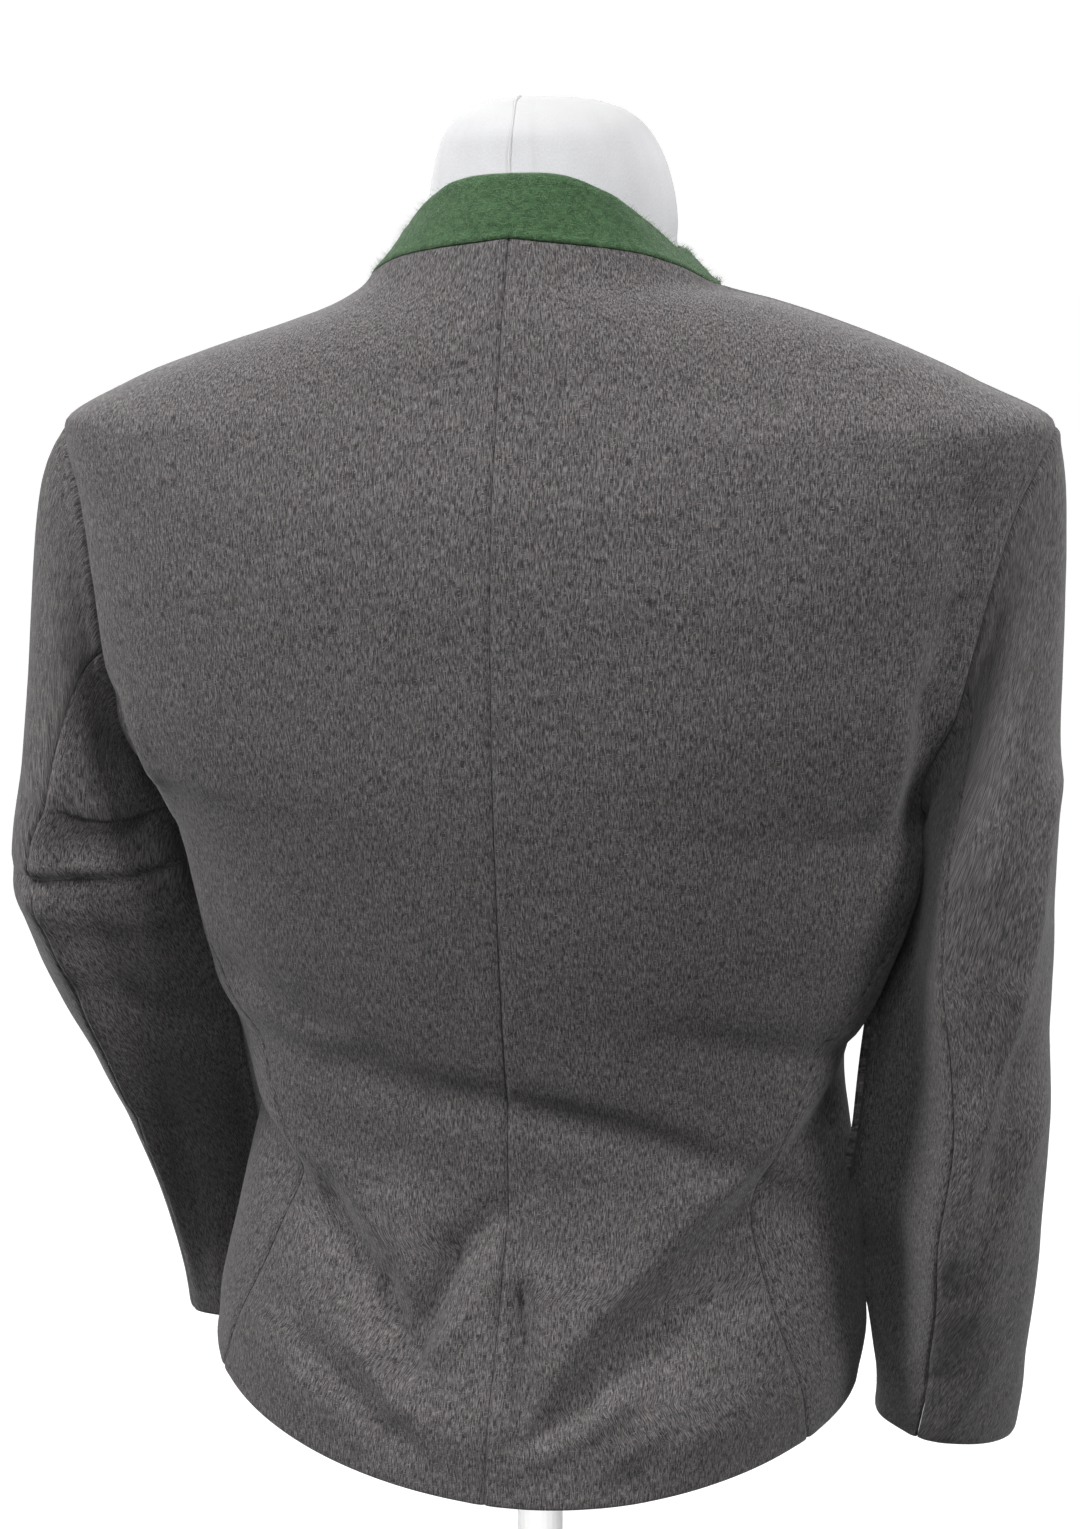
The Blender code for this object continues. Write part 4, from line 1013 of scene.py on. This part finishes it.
def jersey(name):
    """White knitted cover, its wales 0.8 mm apart, darker towards the neck's top."""
    g = Graph(name)
    flat = g.cloth()
    wales = g.node(
        "TexWave",
        {"Vector": g.stretched(flat, (2.6, 2.6, 1)), "Scale": 1.0, "Distortion": 0.6},
        wave_profile="SIN",
    ).outputs["Fac"]
    fine = g.noise(g.stretched(flat, (0.7, 1.1, 1)), 0.3, 0.7, 2.0)
    blotch = g.noise(g.stretched(flat, (18, 24, 1)), 0.3, 0.7, 2.0)
    base = g.mix(fine, (0.57, 0.57, 0.585, 1), (0.66, 0.66, 0.675, 1))
    base = g.times(base, g.mix(blotch, grey(0.96), grey(1.02)))
    up = g.node("SeparateXYZ", {"Vector": g.place()}).outputs["Z"]
    base = g.mix(g.spread(up, *NECK_SHADE), base, grey(0.47))
    height = g.sum(g.part_of(wales, 0.7), fine)
    normal = g.bump(height, 0.3, 0.00018)
    return g.finish(base, normal, 0.85, Specular_IOR_Level=0.25, Sheen_Weight=0.1)


def horn(name):
    g = Graph(name)
    place = g.place()
    bands = g.noise(g.stretched(place, (5, 9, 3), 25), 0.35, 0.65, 3.0)
    veins = g.noise(g.stretched(place, (1.2, 1.2, 5), 40), 0.5, 0.7, 3.0)
    base = g.mix(bands, (0.055, 0.028, 0.013, 1), (0.20, 0.120, 0.055, 1))
    base = g.mix(g.part_of(veins, 0.6), base, (0.34, 0.235, 0.125, 1))
    rough = g.spread(bands, 0, 1, 0.28, 0.42)
    return g.finish(base, g.bump(veins, 0.1, 0.0001), rough, Coat_Weight=0.2)


def thread(name, colour):
    g = Graph(name)
    twist = g.noise(g.stretched(g.place(), (0.4, 0.4, 0.9), 30), 0.35, 0.65)
    base = g.mix(twist, tuple(0.6 * c for c in colour[:3]) + (1,), colour)
    return g.finish(base, g.bump(twist, 0.5, 0.0001), 0.7)


def hair(name, dark, light):
    """Single wool hairs, darker and lighter from place to place."""
    g = Graph(name)
    tone = g.noise(g.stretched(g.place(), (1.3, 1.3, 1.3)), 0.35, 0.65)
    return g.finish(g.mix(tone, dark, light), None, 0.8, Specular_IOR_Level=0.2)


def enamel(name):
    g = Graph(name)
    place = g.place()
    peel = g.noise(g.stretched(place, (1.6, 1.6, 1.6)), 0.3, 0.7, 1.0)
    dust = g.noise(g.stretched(place, (30, 30, 40)), 0.3, 0.7, 3.0)
    base = g.mix(dust, (0.74, 0.74, 0.735, 1), (0.80, 0.80, 0.80, 1))
    rough = g.spread(dust, 0, 1, 0.30, 0.42)
    return g.finish(base, g.bump(peel, 0.12, 0.0001), rough, Coat_Weight=0.3)


def backdrop_material(name):
    g = Graph(name)
    wash = g.noise(g.stretched(g.place(), (700, 700, 700)), 0.3, 0.7, 1.0)
    g.shader.inputs["Emission Color"].default_value = (1, 1, 1, 1)
    return g.finish(
        g.mix(wash, grey(0.30), grey(0.31)), None, 0.95, Specular_IOR_Level=0.1,
        Emission_Strength=0.99,
    )


# ---- the cloth


def add_panel(node, grid, normals, material, flat, kinds, seed, bulges):
    """A panel's shell with its edges finished, and the grid that its nap stands on."""
    grid = finish_edges(grid, normals, flat, kinds, seed)
    return add_shell(node + "_shell", grid, normals, material, flat, bulges), grid, normals


def add_body(material):
    shells = {}
    for side in (LEFT, RIGHT):
        name = SIDE_NAMES[side]
        back_edge = seam_to_armhole(side, SIDE_BACK, SIDE_BACK_STEP)
        front_edge = seam_to_armhole(side, SIDE_FRONT, SIDE_FRONT_STEP)
        past = math.asin(OVERLAP / BODY[name](OVERLAP_HEIGHT)) / math.pi
        for panel, step, edge, centre, gap, kind, bulge, seed in (
            ("back_", SIDE_BACK_STEP, back_edge, 0.0, SEW_GAP, "pressed", 0, 11),
            ("front_", SIDE_FRONT_STEP, front_edge, 1 + past, 0.0, "turned", 1, 31),
        ):
            grid, normals = body_panel(side, step, edge, centre)
            flat = flat_map(grid, side)
            grid = draw_in(grid, last=SEW_GAP, top=SEW_GAP, first=gap)
            kinds = ("turned", "pressed", "joined", kind)
            shells[panel + name] = add_panel(
                panel + name, grid, normals, material, flat, kinds, seed + side,
                (1, 0, 0, bulge),
            )

        part = fine_parts(SIDE_WIDTH)
        position = SIDE_BACK_STEP + (SIDE_FRONT_STEP - SIDE_BACK_STEP) * part
        top_share, top_height = armhole(side, position)
        rows = fine_parts(UNDERARM_HEIGHT)
        height = rows[:, None] * top_height[None, :]
        share = back_edge(height) * (1 - part) + front_edge(height) * part
        share = share + (top_share - share[-1]) * rows[:, None] ** SEAM_EASE
        grid = body(side, share, height)
        normals = surface_normal(body, side, share, height)
        along, length = run_lengths(grid, 0)
        of_edge = edge_normals(side, position)[None]
        normals = turn_to(normals, of_edge, length - along, BODY_BLEND)
        flat = flat_map(grid, side)
        grid = draw_in(grid, last=SEW_GAP, top=SEW_GAP, first=SEW_GAP)
        kinds = ("turned", "pressed", "sunk", "pressed")
        shells["side_" + name] = add_panel(
            "side_" + name, grid, normals, material, flat, kinds, 51 + side, (1, 0, 0, 0)
        )
    return shells


def add_sleeves(material):
    shells = {}
    turns = {
        "top": (FORE_SEAM_STEP - ARMHOLE_STEPS, HIND_SEAM_STEP),
        "under": (HIND_SEAM_STEP, FORE_SEAM_STEP),
    }
    for side in (LEFT, RIGHT):
        table = SLEEVE_RINGS[side]
        arm_length = table[0][0] - table[-1][0]
        cap_rows = fine_parts(CAP_LENGTH, last=False)[:-1]
        arm_rows = 1 + fine_parts(float(arm_length), first=False)
        rows = np.concatenate([cap_rows, arm_rows])[:, None]
        for piece, (start, end) in turns.items():
            width = (end - start) * SLEEVE_GIRTH / ARMHOLE_STEPS
            steps = start + (end - start) * fine_parts(width)[None, :]
            grid = sleeve(side, rows, steps)
            normals = sleeve_normal(sleeve, side, rows, steps)
            along, length = run_lengths(grid, 0)
            of_edge = edge_normals(side, steps[0])[None]
            normals = turn_to(normals, of_edge, along, SLEEVE_BLEND)
            flat = flat_map(grid, side)
            hind = -1 if piece == "top" else 0
            vent = np.clip(1 - (length - along)[:, hind] / VENT_HEIGHT, 0, 1) * VENT_WIDTH / 2
            open_edge = SEW_GAP + vent
            if piece == "top":
                grid = draw_in(grid, bottom=SEW_GAP, last=open_edge, first=SEW_GAP)
            else:
                grid = draw_in(grid, bottom=SEW_GAP, last=SEW_GAP, first=open_edge)
            kinds = ("rolled", "pressed", "turned", "pressed")
            node = "sleeve_%s_%s" % (piece, SIDE_NAMES[side])
            shells[node] = add_panel(
                node, grid, normals, material, flat, kinds, 71 + side, (0, 0, 1, 0)
            )
    return shells


def add_collar(material):
    part = fine_parts(COLLAR_HALF, first=False)
    rows = fine_parts(COLLAR_HEIGHT)
    halves = []
    for side in (RIGHT, LEFT):
        half = BODY[SIDE_NAMES[side]](NECK_POINT_HEIGHT)
        share = (1 - math.asin(COLLAR_OPENING / half) / math.pi) * part
        grid = collar_points(side, share[None, :], rows[:, None] + 0 * share[None, :])
        wall = neckline_normals(side, share)
        if side == RIGHT:
            grid, wall = grid[:, ::-1], wall[::-1]
        else:
            grid, wall = grid[:, 1:], wall[1:]
        halves.append((grid, wall))
    grid = np.concatenate([half for half, _ in halves], axis=1)
    wall = np.concatenate([of_half for _, of_half in halves])
    along = np.gradient(grid, axis=1)
    normals = -unit(np.cross(along, np.gradient(grid, axis=0)))
    up, height = run_lengths(grid, 0)
    normals = turn_to(normals, wall[None], up, COLLAR_BLEND)
    flat = flat_map(grid, 1)
    grid = draw_in(grid, bottom=SEW_GAP)
    off_centre = np.abs(grid[..., 0])
    arc = COLLAR_ARC * bell(off_centre - ARC_AT, ARC_SPREAD)
    arc = arc - COLLAR_PEAK * bell(off_centre, PEAK_SPREAD)
    grid[..., 2] += arc * (grid[..., 1] > 0) * up / height
    rise = 0.0
    for wave, cell, seed in FELT_WAVES:
        rise = rise + wave * unevenness(flat[..., 0], flat[..., 1], cell, seed)
    rise = rise * (1 - bell(up, 5))
    rise = rise + 0.5 * bell(up - 1.6, 1.8) - 0.35 * bell(up, 0.6)    # swells above its foot
    rise = rise - 0.5 * bell(height - up, 1.2)                        # thins at the upper edge
    grid = grid + normals * rise[..., None]
    wave, cell, seed = FELT_EDGE_WAVE
    grid[..., 2] += wave * unevenness(flat[..., 0], 0 * flat[..., 0], cell, seed) * up / height
    return add_shell("collar_shell", grid, normals, material, flat, (0, 1, 1, 1)), grid, normals


# ---- the form


def form_ring(height):
    shares = np.linspace(0, 1, FORM_SIDES // 2 + 1)
    points = []
    for side, share in ((LEFT, shares), (RIGHT, shares[::-1][1:-1])):
        level = np.full(len(share), float(height))
        point = smooth_body(side, share, level)
        out = surface_normal(smooth_body, side, share, level)
        deeper = FORM_FRONT_INSET * soft_step(share, *FORM_FRONT_SHARES)
        sunk = -np.minimum(0, fold_rise(point, share))
        deeper = deeper + sunk * soft_step(FOLLOW_TOP - level, 0, FOLLOW_FADE)
        point = point - out * (FORM["inset"](height) + deeper)[:, None]
        widest = FORM["half_width"](height)
        reach = (np.abs(point[:, 0]) / widest) ** FORM_SHOULDER_POWER
        stopped = widest * (1 - np.exp(-reach)) ** (1 / FORM_SHOULDER_POWER)
        point[:, 0] = np.copysign(stopped, point[:, 0])
        points.append(point)
    return np.concatenate(points)


# The throat stands less far forward than the nape: share of the depth at each height.
NECK_THROAT = smooth_curve((585, 599, 608, 620, 632, 662), (0.74, 0.79, 0.86, 0.93, 1.0, 1.0))


def add_form(material):
    levels = np.concatenate([np.linspace(*span) for span in FORM_LEVELS])
    rings = [form_ring(height) for height in levels]
    rings[0][:, 2] = FORM_BOTTOM
    angle = 2 * math.pi * np.arange(FORM_SIDES) / FORM_SIDES
    for ring in np.linspace(0, len(NECK_RINGS) - 1, FORM_NECK_RINGS):
        deep = np.where(np.cos(angle) < 0, NECK_THROAT(NECK["height"](ring)), 1.0)
        rings.append(np.stack([
            NECK["centre_x"](ring) + NECK["half_x"](ring) * np.sin(angle),
            NECK["centre_y"](ring) + NECK["half_y"](ring) * np.cos(angle) * deep,
            np.full(FORM_SIDES, float(NECK["height"](ring))),
        ], -1))
    grid = np.array(rings)
    rows = len(grid)
    index = np.arange(rows * FORM_SIDES).reshape(rows, FORM_SIDES)
    after = np.roll(index, -1, axis=1)
    faces = np.stack([index[:-1], after[:-1], after[1:], index[1:]], -1).reshape(-1, 4)
    around = np.arange(FORM_SIDES)[None, :] * (FORM_GIRTH / FORM_SIDES) + 0 * grid[..., 0]
    maps = np.stack([around, grid[..., 2]], -1).reshape(-1, 2)
    faces = faces.tolist() + [index[0][::-1].tolist(), index[-1].tolist()]
    mesh = bpy.data.meshes.new("dress_form_cover")
    mesh.from_pydata(to_scene(grid.reshape(-1, 3)).tolist(), [], faces)
    lay_flat(mesh, maps)
    mesh.shade_smooth()
    mesh.set_sharp_from_angle(angle=math.radians(SHARP_FORM))
    mesh.materials.append(material)
    item = link("dress_form_cover", mesh)
    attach(item, "root")
    return item


# ---- studio and camera
JACKET_MIDDLE = (0, 0.05, 0.60)
STUDIO_LIGHTS = (
    # name, place (m), aim (m), diameter (m), cone (degrees), power (W); stand_light only
    # whitens the pole under the hem
    ("key_right", (-1.70, 0.86, 2.38), JACKET_MIDDLE, 0.6, 34, 192),
    ("key_left", (1.72, 0.82, 2.38), JACKET_MIDDLE, 0.6, 34, 275),
    ("overhead", (0.0, 1.25, 2.90), JACKET_MIDDLE, 0.6, 34, 62),
    ("low_fill", (0.0, 2.35, 1.82), JACKET_MIDDLE, 0.8, 34, 34),
    ("front_right", (-1.25, -1.88, 1.82), JACKET_MIDDLE, 0.8, 34, 95),
    ("front_left", (1.25, -1.88, 1.82), JACKET_MIDDLE, 0.8, 34, 95),
    ("stand_light", (0.0, 1.20, 0.12), (0, 0, 0.16), 0.04, 8.5, 60),
)
CAMERA_PLACE = (-0.197, 0.854, 0.850)
CAMERA_TURN = 193.0          # degrees round the object
CAMERA_DROP = 16.3           # degrees below the horizon
CAMERA_LENS = 42.38          # mm, on a 36 mm sensor along the long side
FLOOR_RADIUS, SWEEP, SWEEP_STEPS = 3.0, 1.4, 14    # flat floor (m), and its curve up
WALL_TOP = 4.2
BACKDROP_SIDES = 96
SKY_COLOUR, SKY_STRENGTH = (0.97, 0.98, 1.0, 1), 0.06
LIGHT_BLEND = 0.6


def add_studio():
    """A white backdrop that gives off its own light, hidden from diffuse rays, and spots."""
    profile = [(0.0, 0.0), (FLOOR_RADIUS / 2, 0.0), (FLOOR_RADIUS, 0.0)]
    for turn in np.linspace(0, math.pi / 2, SWEEP_STEPS)[1:]:
        profile.append((FLOOR_RADIUS + SWEEP * math.sin(turn), SWEEP * (1 - math.cos(turn))))
    profile.append((FLOOR_RADIUS + SWEEP, WALL_TOP))
    mesh = turned_mesh("backdrop", profile, BACKDROP_SIDES)
    mesh.shade_smooth()
    mesh.materials.append(backdrop_material("pale_backdrop"))
    backdrop = link("backdrop", mesh)
    backdrop.visible_diffuse = False     # the dark cloth keeps its own shadows

    bpy.context.scene.view_settings.view_transform = "Standard"
    world = bpy.data.worlds.new("studio")
    bpy.context.scene.world = world
    world.use_nodes = True
    sky = world.node_tree.nodes["Background"]
    sky.inputs["Color"].default_value = SKY_COLOUR
    sky.inputs["Strength"].default_value = SKY_STRENGTH
    for name, place, aim, diameter, cone, watts in STUDIO_LIGHTS:
        light = bpy.data.lights.new(name, "SPOT")
        light.energy = watts
        light.shadow_soft_size = diameter / 2
        light.spot_size = math.radians(cone)
        light.spot_blend = LIGHT_BLEND
        item = link(name, light)
        item.location = place
        item.visible_camera = False
        item.rotation_mode = "QUATERNION"
        beam = Vector(aim) - Vector(place)
        item.rotation_quaternion = beam.to_track_quat("-Z", "Y")


def add_camera():
    camera = bpy.data.cameras.new("camera")
    camera.sensor_fit = "AUTO"
    camera.sensor_width = 36.0
    camera.lens = CAMERA_LENS
    camera.clip_start, camera.clip_end = 0.02, 40
    item = link("camera", camera)
    turn, drop = math.radians(CAMERA_TURN), math.radians(CAMERA_DROP)
    back = Vector((
        math.sin(turn) * math.cos(drop), -math.cos(turn) * math.cos(drop), math.sin(drop)
    ))
    item.location = CAMERA_PLACE
    item.rotation_mode = "QUATERNION"
    item.rotation_quaternion = (-back).to_track_quat("-Z", "Y")
    bpy.context.scene.camera = item


# ---- small pieces


def tubes(paths, radii, sides, closed=False, out=None):
    """Thin closed tubes along paths of shape (count, steps, 3), as points and faces."""
    paths = np.asarray(paths, float)
    count, steps = paths.shape[:2]
    if closed:
        run = unit(np.roll(paths, -1, axis=1) - np.roll(paths, 1, axis=1))
    else:
        run = unit(np.gradient(paths, axis=1))
    if out is None:
        upright = np.abs(run[:, :1, 2:]) > 0.8
        out = np.where(upright, np.array((1.0, 0, 0)), np.array((0, 0, 1.0)))
    across = unit(np.cross(run, out))
    lift = np.cross(across, run)
    angle = 2 * math.pi * np.arange(sides) / sides
    ring = across[..., None, :] * np.cos(angle)[:, None]
    ring = ring + lift[..., None, :] * np.sin(angle)[:, None]
    radii = np.broadcast_to(radii, (count, steps))
    points = paths[..., None, :] + ring * radii[..., None, None]
    index = np.arange(count * steps * sides).reshape(count, steps, sides)
    after = np.roll(index, -1, axis=2)
    if closed:
        a, b = index, after
        c, d = np.roll(after, -1, axis=1), np.roll(index, -1, axis=1)
    else:
        a, b, c, d = index[:, :-1], after[:, :-1], after[:, 1:], index[:, 1:]
    faces = np.stack([a, b, c, d], -1).reshape(-1, 4).tolist()
    if not closed:
        faces += index[:, 0, ::-1].tolist() + index[:, -1].tolist()
    return points.reshape(-1, 3), faces


def add_piece(name, parts, material):
    """One mesh from (points in mm, faces) parts, riding on the jacket."""
    points, faces, base = [], [], 0
    for part_points, part_faces in parts:
        points += to_scene(part_points).tolist()
        faces += [[base + corner for corner in face] for face in part_faces]
        base = len(points)
    mesh = bpy.data.meshes.new(name)
    mesh.from_pydata(points, [], faces)
    face_outwards(mesh)
    mesh.shade_smooth()
    mesh.set_sharp_from_angle(angle=math.radians(SHARP_PIECE))
    mesh.materials.append(material)
    item = link(name, mesh)
    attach(item, "root")
    return item


def fibres(grid, normals, count, length, radius, stand, seed):
    """Loose hairs on a face of cloth. stand is how far they stand up: 0 lies flat, 1 upright."""
    draw = np.random.default_rng(seed)
    rows, columns = grid.shape[:2]
    r = draw.uniform(0.5, rows - 1.5, count)
    c = draw.uniform(0.5, columns - 1.5, count)
    i, j = r.astype(int), c.astype(int)
    part_r, part_c = (r - i)[:, None], (c - j)[:, None]
    low = grid[i, j] * (1 - part_c) + grid[i, j + 1] * part_c
    high = grid[i + 1, j] * (1 - part_c) + grid[i + 1, j + 1] * part_c
    root = low * (1 - part_r) + high * part_r
    out = normals[i, j]
    side = unit(np.cross(out, draw.normal(size=(count, 3))))
    rise = np.clip(draw.normal(stand, STAND_SPREAD, count), LEAST_STAND, 1.0)[:, None]
    way = unit(side * (1 - rise) + out * rise)
    reach = (length * draw.uniform(*HAIR_LENGTHS, count))[:, None]
    bend = unit(draw.normal(size=(count, 3)) + side) * reach * HAIR_BEND
    middle = root + way * reach * 0.5 + bend * 0.5
    tip = root + way * reach + bend * draw.uniform(-0.6, 0.6, count)[:, None]
    start = root - out * ROOT_DEPTH
    paths = np.stack([start, middle, tip], 1)
    return tubes(paths, radius * np.array(HAIR_TAPER), 3)


def add_nap(node, grid, normals, layers, number, material):
    parts = [
        fibres(grid, normals, count, length, radius, stand, seed + number)
        for count, length, radius, stand, seed in layers
    ]
    return add_piece(node + "_nap", parts, material)


# ---- buttons and buttonholes
HORN_PROFILE = (
    # radius, height above the button's foot (mm)
    (0.0, 2.72), (1.6, 2.72), (4.4, 2.80), (5.9, 2.98), (6.6, 3.30), (7.2, 3.74), (7.9, 3.96),
    (8.6, 3.93), (9.2, 3.68), (9.7, 3.12), (9.95, 2.40), (9.85, 1.70), (9.4, 0.92),
    (8.9, 0.40), (8.2, 0.06), (7.0, 0.0), (0.0, 0.0),
)
HORN_TURNS = 56
HOLE_RADIUS = 1.05
HOLE_OFFSET = 2.05
SLIT_FROM, SLIT_TO = 2.0, -19.0      # the buttonhole along the front (mm from its middle)
SLIT_HALF, SLIT_STEP = 0.8, 0.5      # half its height, and how far apart its points are
STITCH_BESIDE = (-0.42, 0.0, 0.42)   # strands through each pair of the button's holes (mm)
STITCH_X = (-HOLE_OFFSET, -HOLE_OFFSET, -1.3, 0, 1.3, HOLE_OFFSET, HOLE_OFFSET)
STITCH_Z = (0.6, 2.85, 3.22, 3.34, 3.22, 2.85, 0.6)
SHANK = ((0, 0, -1.9), (0, 0, -1.0), (0, 0, 0.3))
STRAND_RADIUS, SHANK_RADIUS, BAR_RADIUS, BAR_HALF = 0.3, 1.7, 0.55, 1.9
BAR_STEPS = 7
BUTTON_TURN = 0.09           # how far (radians) the buttons are turned, each its own way


def front_place(x, height):
    """Point and outward direction of the right front at x and height."""
    half = BODY["right"](height)
    share = 1 + np.arcsin(np.asarray(x) / half) / math.pi
    height = np.broadcast_to(float(height), share.shape)
    return body(RIGHT, share, height), surface_normal(body, RIGHT, share, height)


def button_frame(height):
    at = body(RIGHT, np.array(1.0), np.array(height))
    out = surface_normal(body, RIGHT, np.array(1.0), np.array(height))
    reach = BUTTON_DIAMETER / 2
    beneath = body(RIGHT, np.array(1.0), height + np.array((-reach, 0, reach)))
    seat = at + out * (np.max((beneath - at) @ out) + BUTTON_LIFT)
    across = unit(np.cross((0, 0, 1.0), out))
    return seat, across, np.cross(out, across), out


def placed(points, frame_of):
    seat, across, up, out = frame_of
    points = np.asarray(points, float)
    return seat + points[..., :1] * across + points[..., 1:2] * up + points[..., 2:] * out


def button_mesh():
    """A dished horn button with four holes, about its own centre, in mm."""
    blank = link("button_blank", turned_mesh("button_blank", HORN_PROFILE, HORN_TURNS))
    drills = []
    for x in (-HOLE_OFFSET, HOLE_OFFSET):
        for y in (-HOLE_OFFSET, HOLE_OFFSET):
            path = np.array([[(x, y, -1.0), (x, y, 5.0)]])
            points, faces = tubes(path, HOLE_RADIUS, 16)
            drill_mesh = bpy.data.meshes.new("drill")
            drill_mesh.from_pydata(points.tolist(), [], faces)
            drill = link("drill", drill_mesh)
            cut = blank.modifiers.new("hole", "BOOLEAN")
            cut.operation, cut.solver, cut.object = "DIFFERENCE", "EXACT", drill
            drills.append(drill)
    bpy.context.view_layer.update()
    drilled = bpy.data.meshes.new_from_object(
        blank.evaluated_get(bpy.context.evaluated_depsgraph_get())
    )
    points = np.zeros(len(drilled.vertices) * 3)
    drilled.vertices.foreach_get("co", points)
    faces = [list(face.vertices) for face in drilled.polygons]
    for item in drills + [blank]:
        data = item.data
        bpy.data.objects.remove(item)
        bpy.data.meshes.remove(data)
    bpy.data.meshes.remove(drilled)
    return points.reshape(-1, 3), faces


def add_buttons(horn_material, thread_material):
    points, faces = button_mesh()
    sewing, worked = [], []
    for number, height in enumerate(BUTTON_HEIGHTS, 1):
        own = button_frame(height)
        turn = BUTTON_TURN * math.sin(2.4 * number)
        turned = points.copy()
        turned[:, 0] = points[:, 0] * math.cos(turn) - points[:, 1] * math.sin(turn)
        turned[:, 1] = points[:, 0] * math.sin(turn) + points[:, 1] * math.cos(turn)
        button = add_piece(
            "button_%d_horn" % number, [(placed(turned, own), faces)], horn_material
        )
        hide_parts("button_%d" % number)
        strands = []
        for y in (-HOLE_OFFSET, HOLE_OFFSET):
            for beside in STITCH_BESIDE:
                x = np.array(STITCH_X) + 0.06 * math.sin(number + 5 * beside)
                z = np.array(STITCH_Z) - 0.12 * abs(beside)
                strands.append(np.stack([x, y + beside + 0 * x, z], -1))
        sewing.append(tubes(placed(np.array(strands), own), STRAND_RADIUS, 8))
        sewing.append(tubes(placed([SHANK], own), SHANK_RADIUS, 14))
        along = np.arange(SLIT_TO, SLIT_FROM, SLIT_STEP)
        bend = np.linspace(-math.pi / 2, math.pi / 2, 7)[1:-1]
        out_x, out_z = SLIT_HALF * np.cos(bend), SLIT_HALF * np.sin(bend)
        x = np.concatenate([along, SLIT_FROM + out_x, along[::-1], SLIT_TO - out_x])
        z = np.concatenate([0 * along - SLIT_HALF, out_z, 0 * along + SLIT_HALF, -out_z])
        at, out = front_place(x, height)
        loop = at + out * 0.4
        loop[:, 2] += z
        ripple = 0.5 + 0.09 * np.cos(math.pi * np.arange(len(x)))
        worked.append(tubes(loop[None], ripple, 8, closed=True, out=out[None]))
        at, out = front_place(np.full(BAR_STEPS, SLIT_TO - 0.9), height)
        bar = at + out * 0.45
        bar[:, 2] += np.linspace(-BAR_HALF, BAR_HALF, BAR_STEPS)
        worked.append(tubes(bar[None], BAR_RADIUS, 8, out=out[None]))
    threads = add_piece("button_threads", sewing, thread_material)
    holes = add_piece("worked_buttonholes", worked, thread_material)
    return threads, holes


# ---- the form's neck seam
NECK_SEAM = (
    # x, height (mm): the cover's closing seam up the back of the neck
    (3.2, 612), (3.6, 622), (4.6, 633), (4.2, 644), (4.0, 651), (4.8, 656), (6.0, 659.5),
    (6.5, 661.2),
)


def add_neck_seam(material):
    x, level = np.array(NECK_SEAM, float).T
    fine = np.linspace(level[0], level[-1], 40)
    x = smooth_curve(level, x)(fine)
    heights = [row[1] for row in NECK_RINGS]
    ring = smooth_curve(heights, [row[0] for row in NECK_RINGS])(fine)
    aside = (x - NECK["centre_x"](ring)) / np.maximum(NECK["half_x"](ring), 1e-6)
    y = NECK["centre_y"](ring) + NECK["half_y"](ring) * np.sqrt(np.maximum(1 - aside ** 2, 0))
    path = np.stack([x, y, fine], -1)
    width = 0.55 + 0.12 * unevenness(fine, 0 * fine, 4, 17) + 0.5 * bell(fine - 660.5, 1.6)
    return add_piece(
        "cover_neck_seam", [tubes(path[None], width, 8)], material
    )


# ---- assembly
add_camera()
add_studio()

grey_loden = loden("grey_loden_wool", 0.080)
green_felt = felt("green_wool_felt")
white_jersey = jersey("white_jersey_cover")
white_enamel = enamel("white_enamel_finish")
horn_finish = horn("polished_horn")

sewing_thread = thread("sewing_thread", (0.060, 0.058, 0.056, 1))
loden_fibre = hair("loden_fibre", (0.15, 0.147, 0.145, 1), (0.42, 0.41, 0.40, 1))
felt_fibre = hair("felt_fibre", (0.05, 0.12, 0.045, 1), (0.20, 0.34, 0.17, 1))

threads, holes = add_buttons(horn_finish, sewing_thread)
shells = add_body(grey_loden)
shells.update(add_sleeves(grey_loden))
for number, (node, (item, grid, normals)) in enumerate(shells.items()):
    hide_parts(node)
    nap = add_nap(node, grid, normals, LODEN_NAP, number, loden_fibre)

collar, collar_grid, collar_normals = add_collar(green_felt)
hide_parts("collar")
collar_nap = add_nap(
    "collar", collar_grid, collar_normals, FELT_NAP, 0, felt_fibre
)

cover = add_form(white_jersey)
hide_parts("dress_form")
add_neck_seam(white_jersey)

for node in ("stand_base", "stand_pole"):
    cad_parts[node].data.materials.clear()
    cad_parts[node].data.materials.append(white_enamel)
